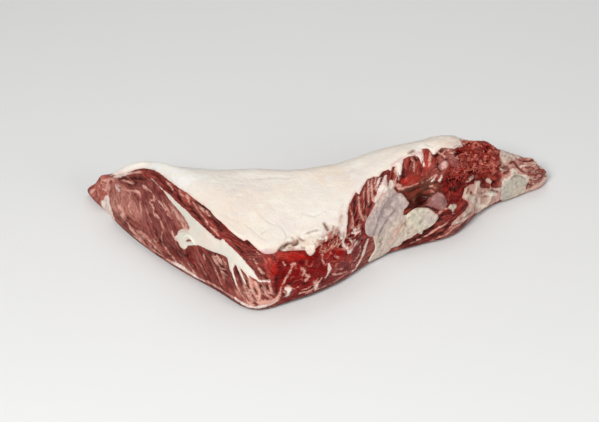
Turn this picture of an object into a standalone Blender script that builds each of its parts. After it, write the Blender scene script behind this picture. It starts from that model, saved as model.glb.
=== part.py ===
"""Raw tri-tip: one whole, untrimmed beef roast lying on its cut underside, fat cap up.

The meat is a loft of six-cornered cross-sections down its length. The fat cap is a layer let into
the top of the meat, and the seam of fat is a wedge that runs in from the cut face at the front left.
Lengths are in millimetres and become metres where a mesh is made. +X runs along the roast, +Y from
the front to the back, +Z up, with the origin under the middle of the roast.
"""

import bpy
import bmesh
import numpy as np

MM = 0.001
GAP = 0.3                 # kept between neighbouring solids
LENGTH = 340.0
HALF = LENGTH / 2
TIP_ROUND = 9.0           # how far back from each tip the sections shrink to a point
THICKNESS = 50.0          # nominal height, to which the section's small features are scaled

# Cross-sections from the left tip to the right tip:
# x, foot y, rim y, rim z, shoulder y, shoulder z
SECTIONS = np.array([
    (-170, 60, 62, 8, 63, 8),
    (-158, 44, 51, 16, 58, 18),
    (-140, 15, 38, 34, 48, 35),
    (-120, -11, 28, 46, 42, 46),
    (-97, -35, -3, 51, 29, 51),
    (-72, -57, -37, 51, 24, 51),
    (-46, -79, -59, 43, 24, 52),
    (-19, -70, -61, 37, 24, 51),
    (12, -50, -48, 37, 33, 51),
    (42, -20, -9, 46, 46, 54),
    (70, -6, 20, 52, 54, 56),
    (98, 9, 33, 49, 63, 54),
    (118, 37, 46, 38, 70, 43),
    (144, 56, 62, 23, 79, 27),
    (170, 73, 75, 11, 82, 11),
], dtype=float)

CAP_START, CAP_END = -148.0, 112.0
CAP_THICKNESS = 5.0
CAP_END_THICKNESS = 1.2
CAP_LIP = 3.0             # width over which the cap's edge is rounded off
# The cap's borders: x, and how far round the section from the foot (1 is the rim, 2 the shoulder)
CAP_FRONT = np.array([(-148, 1.65), (-143, 1.2), (-132, 1.0), (-100, 0.97), (-60, 1.0), (12, 1.01),
                      (26, 1.36), (60, 1.45), (98, 1.5), (106, 1.65), (112, 1.9)])
CAP_BACK = np.array([(-148, 1.65), (-143, 2.0), (-130, 2.3), (-60, 2.55), (60, 2.5), (104, 2.3), (112, 1.9)])

SEAM_START, SEAM_END = -121.0, -37.0
SEAM_DEPTH = 38.0
SEAM_END_DEPTH = 12.0
SEAM_PROUD = 0.8          # how far the soft fat swells out of the cut face
SEAM_INWARD = np.array([0.55, 0.83, 0.06])
SEAM_TOP = np.array([(-121, 0.87), (-102, 0.8), (-74, 0.76), (-57, 0.8), (-45, 0.65), (-37, 0.45)])
SEAM_BOTTOM = np.array([(-121, 0.84), (-102, 0.73), (-90, 0.5), (-66, 0.5), (-53, 0.32), (-37, 0.2)])

FAT = (0.82, 0.76, 0.66)
SEAM_FAT = (0.80, 0.72, 0.62)
LEAN = (0.30, 0.05, 0.05)


def clear_scene():
    for thing in list(bpy.data.objects):
        bpy.data.objects.remove(thing, do_unlink=True)


def material(name, colour, roughness):
    made = bpy.data.materials.new(name)
    made.use_nodes = True
    shader = made.node_tree.nodes["Principled BSDF"]
    shader.inputs["Base Color"].default_value = (*colour, 1.0)
    shader.inputs["Roughness"].default_value = roughness
    shader.inputs["Metallic"].default_value = 0.0
    return made


def guide(points, column, x):
    """A smooth curve through one column of a table, as cubic pieces whose slopes follow the neighbours."""
    at, values = points[:, 0], points[:, column]
    slopes = np.gradient(values, at)
    left = np.clip(np.searchsorted(at, x) - 1, 0, len(at) - 2)
    span = at[left + 1] - at[left]
    t = np.clip((x - at[left]) / span, 0, 1)
    return ((2 * t**3 - 3 * t**2 + 1) * values[left] + (t**3 - 2 * t**2 + t) * span * slopes[left]
            + (-2 * t**3 + 3 * t**2) * values[left + 1] + (t**3 - t**2) * span * slopes[left + 1])


def corners(x, inset):
    """The (y, z) corners of the sections at x, each edge moved inwards by inset.

    In turn: foot, rim, shoulder, back, back base and front base.
    """
    foot, rim_y, rim_z, shoulder_y, shoulder_z = (guide(SECTIONS, c, x) for c in range(1, 6))
    size = np.clip(shoulder_z / THICKNESS, 0.1, 1)
    back = shoulder_y + 14 * size
    ring = np.stack([
        np.stack([foot, 6 * size], -1),
        np.stack([rim_y, rim_z], -1),
        np.stack([shoulder_y, shoulder_z], -1),
        np.stack([back, 0.45 * shoulder_z], -1),
        np.stack([back - 8 * size, 0 * x], -1),
        np.stack([foot + 7 * size, 0 * x], -1)], axis=1)
    edge = np.roll(ring, -1, axis=1) - ring
    edge /= np.linalg.norm(edge, axis=2, keepdims=True)
    inward = np.stack([edge[..., 1], -edge[..., 0]], -1)
    before = np.roll(inward, 1, axis=1)
    shift = (inward + before) / (1 + (inward * before).sum(axis=2, keepdims=True))
    return ring + inset[:, None, None] * shift, size


def skin(x, v, inset=0.0):
    """Points at x (one a section) and v (a row of places round each section), inset below the surface.

    Whole numbers of v are the corners in turn. Each corner is a parabola that reaches a radius along
    its two edges, each edge bulges as sin squared, and each end shrinks to a point as a quarter circle.
    """
    inset = inset + 0 * x
    ring, size = corners(x, inset)
    soft = np.clip((x + 60) / 110, 0, 1)      # the rim is crisp at the left and blunt at the right
    radius = np.stack([9 * size, (4 + 26 * soft) * size, 12 * size, 14 * size, 8 * size, 6 * size], -1)
    bulge = np.stack([3 * size, 3 * size, 2 * size, 2 * size, 0 * size, 1 * size], -1)
    row = np.arange(len(x))[:, None]
    k = np.floor(v).astype(int) % 6
    s = (v - np.floor(v))[..., None]
    this, after = ring[row, k], ring[row, (k + 1) % 6]
    previous, beyond = ring[row, (k - 1) % 6], ring[row, (k + 2) % 6]

    def length(a, b):
        return np.linalg.norm(b - a, axis=-1, keepdims=True)

    run, run_in, run_out = length(this, after), length(previous, this), length(after, beyond)
    first = np.minimum(radius[row, k][..., None], 0.48 * np.minimum(run, run_in))
    last = np.minimum(radius[row, (k + 1) % 6][..., None], 0.48 * np.minimum(run, run_out))

    def parabola(t, a, b, c):
        return (1 - t)**2 * a + 2 * t * (1 - t) * b + t**2 * c

    near = parabola(0.5 + 0.5 * s * run / first, this + (previous - this) * first / run_in,
                    this, this + (after - this) * first / run)
    far = parabola(0.5 * (s * run - run + last) / last, after + (this - after) * last / run,
                   after, after + (beyond - after) * last / run_out)
    point = this + (after - this) * s
    point = np.where(s * run < first, near, np.where(s * run > run - last, far, point))
    edge = (after - this) / run
    outward = np.stack([-edge[..., 1], edge[..., 0]], -1)
    point = point + outward * bulge[row, k][..., None] * np.sin(np.pi * s)**2

    to_tip = np.clip((HALF - np.abs(x)) / TIP_ROUND, 0, 1)
    shrink = np.sqrt(np.clip(1 - (1 - to_tip)**2, 0, 1))[:, None, None]
    outer, _ = corners(x, 0 * x)
    centre = np.stack([(outer[:, 0, 0] + outer[:, 3, 0]) / 2, 0.42 * outer[:, 1, 1]], -1)[:, None, :]
    point = centre + (point - centre) * shrink
    along = np.broadcast_to(x[:, None, None], (*point.shape[:2], 1))
    return np.concatenate([along, point], axis=2)


def middle_y():
    """The y half way between the frontmost and the backmost point of the roast."""
    y = skin(np.linspace(-HALF, HALF, 341), np.tile(np.arange(0, 6, 0.05), (341, 1)))[..., 1]
    return (y.min() + y.max()) / 2


def grid_faces(rows, columns, closed):
    """Triangles of a grid of points; closed joins the last column to the first."""
    i, j = np.meshgrid(np.arange(rows - 1), np.arange(columns if closed else columns - 1), indexing="ij")
    i, j = i.ravel(), j.ravel()
    a, b = i * columns + j, i * columns + (j + 1) % columns
    c, d = a + columns, b + columns
    return np.concatenate([np.stack([a, d, b], -1), np.stack([a, c, d], -1)])


def solid(name, points, faces, collection, look):
    """A mesh object from points in millimetres: doubles merged, ends capped, faces pointing out."""
    mesh = bpy.data.meshes.new(name)
    mesh.from_pydata((points * MM).tolist(), [], faces.tolist())
    shape = bmesh.new()
    shape.from_mesh(mesh)
    bmesh.ops.remove_doubles(shape, verts=shape.verts, dist=0.002 * MM)
    bmesh.ops.dissolve_degenerate(shape, edges=shape.edges, dist=0.001 * MM)
    bmesh.ops.holes_fill(shape, edges=shape.edges)
    bmesh.ops.recalc_face_normals(shape, faces=shape.faces)
    shape.to_mesh(mesh)
    shape.free()
    mesh.shade_smooth()
    mesh.set_sharp_from_angle(angle=np.radians(40))
    if look:
        mesh.materials.append(look)
    made = bpy.data.objects.new(name, mesh)
    collection.objects.link(made)
    return made


def cap_thickness(x):
    """Full in the middle of the length, thinning to each end as a sine."""
    t = np.clip((x - CAP_START) / (CAP_END - CAP_START), 0, 1)
    return CAP_END_THICKNESS + (CAP_THICKNESS - CAP_END_THICKNESS) * np.sin(np.pi * t)


def cap_rows(x, across):
    """Places round the section from the cap's front border (across 0) to its back border (across 1)."""
    at = np.clip(x, CAP_START, CAP_END)
    front, back = guide(CAP_FRONT, 1, at)[:, None], guide(CAP_BACK, 1, at)[:, None]
    return front + (back - front) * across[None, :]


CAP_ACROSS = np.concatenate([[0, 0.02, 0.06], np.linspace(0.13, 0.87, 8), [0.94, 0.98, 1]])
CAP_X = np.linspace(CAP_START, CAP_END, 37)


def lean(shift, collection):
    """The meat: the whole skin, with a step down round the cap's bed and a level floor in it."""
    turn = np.linspace(0.12, 1, 4) * np.pi / 2
    tip = TIP_ROUND * (1 - np.cos(turn))
    left = np.concatenate([-HALF + tip, np.linspace(-HALF + 2 * TIP_ROUND - 4, CAP_START, 3)])
    right = np.concatenate([np.linspace(CAP_END, HALF - 2 * TIP_ROUND, 6), (HALF - tip)[::-1]])
    x = np.concatenate([left, CAP_X, right])
    sunk = np.concatenate([0 * left, 1 + 0 * CAP_X, 0 * right]) > 0

    bed = cap_rows(x, CAP_ACROSS)
    front = bed[:, :1] * np.linspace(0, 1, 15)[None, :]
    base = np.array([3.0, 3.3, 3.6, 3.85, 3.95, 4.05, 4.2, 4.4, 4.6, 4.8, 4.95, 5.1, 5.5, 5.8])
    back = bed[:, -1:] + (3 - bed[:, -1:]) * np.linspace(0, 1, 4)[None, :-1]
    surface = skin(x, np.concatenate([front, bed, back, np.tile(base, (len(x), 1))], axis=1))
    floor = skin(x, bed, (cap_thickness(x) + GAP) * sunk)
    start = front.shape[1]
    surface[:, start:start + bed.shape[1]] = floor

    points = surface.reshape(-1, 3) - (0, shift, 0)
    return solid("lean", points, grid_faces(*surface.shape[:2], closed=True), collection,
                 material("lean", LEAN, 0.35))


def fat_cap(shift, collection):
    """The cap: a layer in the bed, its upper and lower faces meeting half way down at a rounded lip."""
    x = CAP_X.copy()
    x[0], x[-1] = CAP_START + 4 * GAP, CAP_END - 4 * GAP
    to_end = np.minimum(x - x[0], x[-1] - x)[:, None]
    bed = skin(x, cap_rows(CAP_X, CAP_ACROSS))
    width = np.linalg.norm(np.diff(bed, axis=1), axis=2).sum(axis=1, keepdims=True)
    oblique = 1 + 2 * np.clip(1 - to_end / 15, 0, 1)      # the borders slant across the rows near the ends
    margin = np.minimum(GAP * oblique / np.maximum(width, 1), 0.4)
    across = margin + (1 - 2 * margin) * CAP_ACROSS[None, :]
    rows = cap_rows(CAP_X, np.array([0, 1]))
    rows = rows[:, :1] + (rows[:, 1:] - rows[:, :1]) * across
    to_side = np.minimum(CAP_ACROSS, 1 - CAP_ACROSS)[None, :] * width
    nearness = np.clip(np.minimum(to_side, to_end) / CAP_LIP, 0, 1)
    round_off = 0.5 * (1 - np.sqrt(1 - (1 - nearness)**2))[..., None]

    top = skin(x, rows)
    bottom = skin(x, rows, cap_thickness(x))
    upper = top + (bottom - top) * round_off
    lower = bottom + (top - bottom) * round_off
    faces = grid_faces(*rows.shape, closed=False)
    points = np.concatenate([upper.reshape(-1, 3), lower.reshape(-1, 3)]) - (0, shift, 0)
    faces = np.concatenate([faces, faces[:, ::-1] + rows.size])
    return solid("fat_cap", points, faces, collection, material("fat", FAT, 0.45))


def seam_fat(shift, collection):
    """The seam: a wedge that spans the seam's borders on the cut face and narrows inwards.

    Its face stands a little out of the meat, and it is as deep as a sine along its length, with a
    blunt inner edge.
    """
    x = np.linspace(SEAM_START, SEAM_END, 15)
    low, high = guide(SEAM_BOTTOM, 1, x), guide(SEAM_TOP, 1, x)
    face = skin(x, low[:, None] + (high - low)[:, None] * np.linspace(0, 1, 5)[None, :])
    up = face[:, 4:5] - face[:, 0:1]
    inward = SEAM_INWARD / np.linalg.norm(SEAM_INWARD)
    depth = SEAM_END_DEPTH + (SEAM_DEPTH - SEAM_END_DEPTH) * np.sin(np.linspace(0, np.pi, 15))
    depths = np.array([0.4, 0.75, 0.95, 1.0, 0.95, 0.75, 0.4])[None, :, None]
    shares = np.array([0.42, 0.3, 0.12, 0.0, -0.12, -0.3, -0.42])[None, :, None]
    inner = face[:, 2:3] + inward * depth[:, None, None] * depths + up * shares
    rings = np.concatenate([face - inward * SEAM_PROUD, inner], axis=1)
    return solid("seam_fat", rings.reshape(-1, 3) - (0, shift, 0), grid_faces(*rings.shape[:2], closed=True),
                 collection, material("seam_fat", SEAM_FAT, 0.5))


def cut_slot(meat, filling, collection):
    """Cuts room for the filling out of the meat: the cutter is the filling, swollen by the gap."""
    mesh = filling.data.copy()
    shape = bmesh.new()
    shape.from_mesh(mesh)
    for vertex in shape.verts:
        vertex.co += vertex.normal * min(vertex.calc_shell_factor(), 2.0) * GAP * MM
    shape.to_mesh(mesh)
    shape.free()
    mesh.materials.clear()
    cutter = bpy.data.objects.new("seam_slot", mesh)
    cutter.hide_render = True
    cutter.display_type = "WIRE"
    collection.objects.link(cutter)
    cut = meat.modifiers.new("seam slot", "BOOLEAN")
    cut.operation = "DIFFERENCE"
    cut.solver = "EXACT"
    cut.object = cutter


clear_scene()
roast = bpy.data.collections.new("raw_tri_tip")
cutters = bpy.data.collections.new("cutters")
bpy.context.scene.collection.children.link(roast)
bpy.context.scene.collection.children.link(cutters)

centre_y = middle_y()
meat_body = lean(centre_y, roast)
fat_cap(centre_y, roast)
seam = seam_fat(centre_y, roast)
cut_slot(meat_body, seam, cutters)
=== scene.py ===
"""A whole raw tri-tip of beef lying on its underside: lean meat, a fat cap, a seam of fat and films."""

import math

import bpy
import numpy as np
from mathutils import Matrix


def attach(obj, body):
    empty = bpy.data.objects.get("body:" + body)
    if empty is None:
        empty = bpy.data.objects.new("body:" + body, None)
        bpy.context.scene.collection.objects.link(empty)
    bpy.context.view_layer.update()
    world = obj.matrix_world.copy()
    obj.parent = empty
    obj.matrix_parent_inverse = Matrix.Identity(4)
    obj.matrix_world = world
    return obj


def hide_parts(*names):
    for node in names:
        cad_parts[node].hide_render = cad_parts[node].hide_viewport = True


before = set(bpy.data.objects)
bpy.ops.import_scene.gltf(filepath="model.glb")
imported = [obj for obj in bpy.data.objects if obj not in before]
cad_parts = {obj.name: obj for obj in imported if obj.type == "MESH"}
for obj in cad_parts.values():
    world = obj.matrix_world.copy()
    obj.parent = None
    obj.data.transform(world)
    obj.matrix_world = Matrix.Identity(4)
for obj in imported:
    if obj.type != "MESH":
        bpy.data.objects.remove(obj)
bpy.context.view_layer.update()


# The view: a long lens looks down on the meat from in front, with the pointed edge nearest and the
# fat cap turned towards it. The aim is the middle of the roast, half way up.
ELEVATION = math.radians(35)
DISTANCE = 1.168
AIM = (-0.014, 0.0041, 0.0234)

lens = bpy.data.cameras.new("camera")
lens.lens = 100
lens.sensor_width = 36
camera = bpy.data.objects.new("camera", lens)
camera.location = (AIM[0], AIM[1] - DISTANCE * math.cos(ELEVATION), AIM[2] + DISTANCE * math.sin(ELEVATION))
camera.rotation_euler = (math.pi / 2 - ELEVATION, 0, 0)
bpy.context.scene.collection.objects.link(camera)
bpy.context.scene.camera = camera
bpy.context.scene.view_settings.view_transform = "Standard"


# The studio: a pale matt table, a large soft lamp high in front to the left, a weaker one at the
# right, one behind for the upper edge, and a dim white room all round.
KEY = {"at": (-0.5, -1.05, 1.05), "size": 0.5, "watts": 18.5}
FILL = {"at": (0.95, -0.85, 0.65), "size": 0.6, "watts": 5.5}
BACK = {"at": (0.1, 0.9, 1.1), "size": 0.9, "watts": 4.0}
ROOM = 0.27


def lamp(name, at, size, watts):
    """A square area lamp that faces the meat."""
    light = bpy.data.lights.new(name, "AREA")
    light.size = size
    light.energy = watts
    made = bpy.data.objects.new(name, light)
    made.location = at
    away = np.array(at) / np.linalg.norm(at)
    made.rotation_euler = (math.acos(away[2]), 0, math.atan2(away[1], away[0]) + math.pi / 2)
    bpy.context.scene.collection.objects.link(made)


lamp("key", **KEY)
lamp("fill", **FILL)
lamp("back", **BACK)
room = bpy.data.worlds.new("room")
room.use_nodes = True
room.node_tree.nodes["Background"].inputs["Color"].default_value = (1.0, 1.0, 1.0, 1)
room.node_tree.nodes["Background"].inputs["Strength"].default_value = ROOM
bpy.context.scene.world = room

TABLE = 3.0
table_mesh = bpy.data.meshes.new("table")
table_mesh.from_pydata([(-TABLE, -TABLE, 0), (TABLE, -TABLE, 0), (TABLE, TABLE, 0), (-TABLE, TABLE, 0)],
                       [], [(0, 1, 2, 3)])
table = bpy.data.objects.new("table", table_mesh)
bpy.context.scene.collection.objects.link(table)
paint = bpy.data.materials.new("table paint")
paint.use_nodes = True
paint.node_tree.nodes["Principled BSDF"].inputs["Base Color"].default_value = (0.78, 0.78, 0.77, 1)
paint.node_tree.nodes["Principled BSDF"].inputs["Roughness"].default_value = 0.7
table_mesh.materials.append(paint)


# The lean: the whole muscle, raw beef. One closed skin is lofted through cross-sections down the
# length, then raised and sunk along its own normals by the grain, the ribs and the torn end.
MM = 0.001
LENGTH = 340.0
HALF = LENGTH / 2
TIP_ROUND = 9.0
THICKNESS = 50.0
FOOT_UP = 6
BACK_OUT = 14
BACK_HEIGHT = 0.45
BASE_IN = {"back": 8, "front": 7}
# The corners' radii and the bulges of the edges after them, from the foot round; towards the tail
# the rim's radius grows by RIM_SOFTER
CORNER_RADII = (9, 4, 12, 14, 8, 6)
RIM_SOFTER = 26
EDGE_BULGES = (3, 3, 2, 2, 0, 1)
# The sections down the length: x, foot y, rim y, rim z, shoulder y, shoulder z, in millimetres
SECTIONS = np.array([
    (-170, 60, 62, 8, 63, 8),
    (-158, 44, 51, 16, 58, 18),
    (-140, 15, 38, 34, 48, 35),
    (-120, -11, 28, 46, 42, 46),
    (-97, -35, -3, 51, 29, 51),
    (-72, -57, -37, 51, 24, 51),
    (-46, -79, -59, 43, 24, 52),
    (-19, -70, -61, 37, 24, 51),
    (12, -50, -48, 37, 33, 51),
    (42, -20, -9, 46, 46, 54),
    (70, -6, 20, 52, 54, 56),
    (98, 9, 33, 49, 63, 54),
    (118, 37, 46, 38, 70, 43),
    (144, 56, 62, 23, 79, 27),
    (170, 73, 75, 11, 82, 11),
], dtype=float)


def guide(points, column, x):
    """A smooth curve through one column of a table: cubic pieces whose slopes follow the neighbours."""
    points = np.asarray(points, dtype=float)
    at, values = points[:, 0], points[:, column]
    slopes = np.gradient(values, at)
    left = np.clip(np.searchsorted(at, x) - 1, 0, len(at) - 2)
    span = at[left + 1] - at[left]
    t = np.clip((x - at[left]) / span, 0, 1)
    return ((2 * t**3 - 3 * t**2 + 1) * values[left] + (t**3 - 2 * t**2 + t) * span * slopes[left]
            + (-2 * t**3 + 3 * t**2) * values[left + 1] + (t**3 - t**2) * span * slopes[left + 1])


def ease(low, high, value):
    """0 at low, 1 at high, and a smooth S between them."""
    t = np.clip((value - low) / (high - low), 0, 1)
    return t * t * (3 - 2 * t)


def corners(x):
    """The (y, z) corners of the sections at x, and each section's size, 1 where it is full thickness.

    In turn: foot, rim, shoulder, back, back base, front base. The last three hang off the others.
    """
    foot, rim_y, rim_z, shoulder_y, shoulder_z = (guide(SECTIONS, c, x) for c in range(1, 6))
    size = np.clip(shoulder_z / THICKNESS, 0.1, 1)
    back = shoulder_y + BACK_OUT * size
    ring = [(foot, FOOT_UP * size), (rim_y, rim_z), (shoulder_y, shoulder_z),
            (back, BACK_HEIGHT * shoulder_z), (back - BASE_IN["back"] * size, 0 * x),
            (foot + BASE_IN["front"] * size, 0 * x)]
    return np.stack([np.stack(corner, -1) for corner in ring], axis=1), size


def skin(x, v):
    """Points at x (one a section) and v (a row of places round each section), in millimetres.

    Whole numbers of v are the corners in turn. Each corner is a parabola that reaches a radius along
    its two edges, each edge bulges as sin squared, and each end shrinks to a point as a quarter circle.
    """
    ring, size = corners(x)
    soft = np.clip((x + 60) / 110, 0, 1)
    radius = size[:, None] * CORNER_RADII
    radius[:, 1] = (CORNER_RADII[1] + RIM_SOFTER * soft) * size
    bulge = size[:, None] * EDGE_BULGES
    row = np.arange(len(x))[:, None]
    k = np.floor(v).astype(int) % 6
    s = (v - np.floor(v))[..., None]
    this, after = ring[row, k], ring[row, (k + 1) % 6]
    previous, beyond = ring[row, (k - 1) % 6], ring[row, (k + 2) % 6]

    def length(a, b):
        return np.linalg.norm(b - a, axis=-1, keepdims=True)

    def parabola(t, a, b, c):
        return (1 - t)**2 * a + 2 * t * (1 - t) * b + t**2 * c

    run, run_in, run_out = length(this, after), length(previous, this), length(after, beyond)
    first = np.minimum(radius[row, k][..., None], 0.48 * np.minimum(run, run_in))
    last = np.minimum(radius[row, (k + 1) % 6][..., None], 0.48 * np.minimum(run, run_out))
    near = parabola(0.5 + 0.5 * s * run / first, this + (previous - this) * first / run_in,
                    this, this + (after - this) * first / run)
    far = parabola(0.5 * (s * run - run + last) / last, after + (this - after) * last / run,
                   after, after + (beyond - after) * last / run_out)
    point = this + (after - this) * s
    point = np.where(s * run < first, near, np.where(s * run > run - last, far, point))
    edge = (after - this) / run
    outward = np.stack([-edge[..., 1], edge[..., 0]], -1)
    point = point + outward * bulge[row, k][..., None] * np.sin(np.pi * s)**2

    to_tip = np.clip((HALF - np.abs(x)) / TIP_ROUND, 0, 1)
    shrink = np.sqrt(np.clip(1 - (1 - to_tip)**2, 0, 1))[:, None, None]
    centre = np.stack([(ring[:, 0, 0] + ring[:, 3, 0]) / 2, 0.42 * ring[:, 1, 1]], -1)[:, None, :]
    point = centre + (point - centre) * shrink
    along = np.broadcast_to(x[:, None, None], (*point.shape[:2], 1))
    return np.concatenate([along, point], axis=2)


OUTLINE = skin(np.linspace(-HALF, HALF, 341), np.tile(np.arange(0, 6, 0.05), (341, 1)))
MIDDLE = np.array([0, (OUTLINE[..., 1].min() + OUTLINE[..., 1].max()) / 2, 0])


def surface(x, v):
    """The skin on the grid of every x with every v, the outward normals there, and mm per unit of v.

    The normal is the cross product of the skin's steps along x and along v.
    """
    grid = skin(x, np.broadcast_to(v, (len(x), len(v)))) - MIDDLE
    step = np.full_like(x, 0.2)
    inner = np.clip(x, -HALF + 1, HALF - 1)
    rise = (skin(inner + step, np.broadcast_to(v, (len(x), len(v))))
            - skin(inner - step, np.broadcast_to(v, (len(x), len(v)))))
    turn = (skin(inner, np.broadcast_to(v + 0.02, (len(x), len(v))))
            - skin(inner, np.broadcast_to(v - 0.02, (len(x), len(v)))))
    normal = np.cross(rise, turn)
    normal /= np.linalg.norm(normal, axis=2, keepdims=True) + 1e-9
    return grid, normal, np.linalg.norm(turn, axis=2) / 0.04


def spot(x, v):
    """The point of the skin at one x and v, in millimetres."""
    return skin(np.array([float(x)]), np.array([[float(v)]]))[0, 0] - MIDDLE


def noise(points, size, seed=0):
    """Smooth random heights from -1 to 1: a random value at each corner of cubes of that size, eased."""
    q = points / size + 31.7 * seed
    cell = np.floor(q).astype(np.int64)
    f = q - cell
    f = f * f * (3 - 2 * f)
    total = np.zeros(points.shape[:-1])
    for corner in np.ndindex(2, 2, 2):
        at = cell + np.array(corner)
        mixed = (at[..., 0] * 73856093) ^ (at[..., 1] * 19349663) ^ (at[..., 2] * 83492791)
        mixed = ((mixed ^ (mixed >> 13)) * 1274126177) & 0x7FFFFFFF
        mixed = ((mixed ^ (mixed >> 15)) * 974634777) & 0x7FFFFFFF
        total += (mixed / 2**30 - 1) * np.prod(np.where(corner, f, 1 - f), axis=-1)
    return total


def ragged(points, size, seed=0):
    """Noise at three sizes, each half as large and half as strong as the last."""
    return (noise(points, size, seed) + 0.5 * noise(points, size / 2, seed + 1)
            + 0.25 * noise(points, size / 4, seed + 2)) / 1.4


def worms(points, size, seed=0):
    """Winding ridges from 0 to 1, highest where a noise crosses zero: 1 - |3.2 noise|^1.3."""
    return 1 - np.clip(np.abs(noise(points, size, seed)) * 3.2, 0, 1)**1.3


REACH = 8.0


def nearest(points, brush, half):
    """Millimetres from each point to the nearest ball of the brush, never more than REACH."""
    low, high = brush.min(axis=0) - REACH - half.max(), brush.max(axis=0) + REACH + half.max()
    flat = points.reshape(-1, 3)
    close = np.flatnonzero(((flat > low) & (flat < high)).all(axis=1))
    away = np.full(len(flat), REACH)
    square = (brush**2).sum(axis=1)
    for part in np.array_split(close, max(1, len(close) * len(brush) // 2000000)):
        here = flat[part]
        gap = (here**2).sum(axis=1)[:, None] + square[None, :] - 2 * here @ brush.T
        away[part] = np.minimum((np.sqrt(np.maximum(gap, 0)) - half[None, :]).min(axis=1), REACH)
    return away.reshape(points.shape[:-1])


def stroke(points, path):
    """Millimetres from each point to the edge of a brush stroke laid on the skin, negative within it.

    path lists x, v and the stroke's half-width; the brush follows a smooth curve through them.
    """
    path = np.asarray(path, dtype=float)
    if len(path) == 1:
        path = np.repeat(path, 2, axis=0) + [[-0.3, 0, 0], [0.3, 0, 0]]
    numbered = np.concatenate([np.arange(len(path))[:, None], path], axis=1)
    t = np.linspace(0, len(path) - 1, 10 * (len(path) - 1) + 1)
    x, v, half = (guide(numbered, c, t) for c in (1, 2, 3))
    return nearest(points, skin(x, v[:, None])[:, 0] - MIDDLE, half)


def strokes(points, paths):
    """The nearest edge of several strokes."""
    away = np.full(points.shape[:-1], REACH)
    for path in paths:
        away = np.minimum(away, stroke(points, path))
    return away


def patch(points, x, v, outline):
    """Millimetres in from the edge of a patch with straight-sided outline, negative outside it.

    A point is inside when a line of constant v from it crosses the outline an odd number of times.
    """
    ring = np.asarray(outline, dtype=float)
    after = np.roll(ring, -1, axis=0)
    inside = np.zeros(points.shape[:-1], dtype=bool)
    brush = []
    for (x0, v0), (x1, v1) in zip(ring, after):
        if v0 != v1:
            crosses = (v > min(v0, v1)) & (v <= max(v0, v1))
            inside ^= crosses[None, :] & (x[:, None] < (x0 + (x1 - x0) * (v - v0) / (v1 - v0))[None, :])
        t = np.linspace(0, 1, 2 + int(math.hypot(x1 - x0, 40 * (v1 - v0)) / 0.8))[:-1]
        brush.append(skin(x0 + (x1 - x0) * t, (v0 + (v1 - v0) * t)[:, None])[:, 0] - MIDDLE)
    brush = np.concatenate(brush)
    return np.where(inside, 1, -1) * nearest(points, brush, np.zeros(len(brush)))


def over(under, colour, amount):
    """One colour laid over others: under + (colour - under) * amount."""
    return under + (colour - under) * amount[..., None]


def coats(tone, *layers):
    """Colours laid over a tone in turn: the red, green and blue of each, 0 to 255, and its amount."""
    for red, green, blue, amount in layers:
        tone = over(tone, tint(red, green, blue), amount)
    return tone


def tint(red, green, blue):
    """A display colour, 0 to 255, as the linear values a shader takes."""
    c = np.array([red, green, blue]) / 255
    return np.where(c < 0.04045, c / 12.92, ((c + 0.055) / 1.055)**2.4)


# The cap's outline: x, and how far round the section from the foot (1 is the rim, 2 the shoulder)
CAP_FRONT = [
    (-152, 1.75), (-147, 1.3), (-142, 1.12), (-136, 1.06), (-131, 1.08), (-126, 1.07), (-120, 1.0),
    (-108, 0.985), (-96, 1.0), (-90, 1.03), (-85, 1.03), (-79, 1.07), (-74, 1.07), (-71, 1.02), (-66, 1.02),
    (-60, 1.0), (-51, 1.01), (-48.5, 1.05), (-46, 1.03), (-42.5, 1.0), (-39.5, 0.97), (-37, 0.94),
    (-34.5, 0.96), (-32, 0.99), (-27, 1.035), (-16, 1.045), (-10, 1.04), (-8.4, 0.99), (-7, 0.94),
    (-6, 0.925), (-5, 0.945), (-4, 0.99), (-2.8, 1.04), (0.5, 1.07), (5, 1.08), (9, 1.09), (12.3, 1.09),
    (13.6, 1.03), (15, 0.92), (16.5, 0.88), (17.8, 0.92), (18.4, 1.05), (18.8, 1.15), (19.2, 1.24),
    (20.5, 1.33), (25, 1.42), (27, 1.34), (30, 1.42), (33.5, 1.47), (38, 1.44), (41, 1.38), (44, 1.42),
    (48, 1.38), (50, 1.33), (51, 1.4), (53, 1.37), (54.3, 1.24), (55.8, 1.15), (57.3, 1.13), (58.2, 1.25),
    (59, 1.42), (68, 1.38), (70, 1.28), (72, 1.1), (72.8, 1.3), (73, 1.47), (77, 1.42), (80, 1.26),
    (82, 1.26), (84, 1.32), (86, 1.38), (92, 1.37), (96, 1.34), (99, 1.4), (103, 1.44), (106, 1.6),
    (110, 1.95),
]
CAP_BACK = [(104, 2.3), (60, 2.5), (-60, 2.55), (-130, 2.3), (-144, 2.0)]


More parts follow.
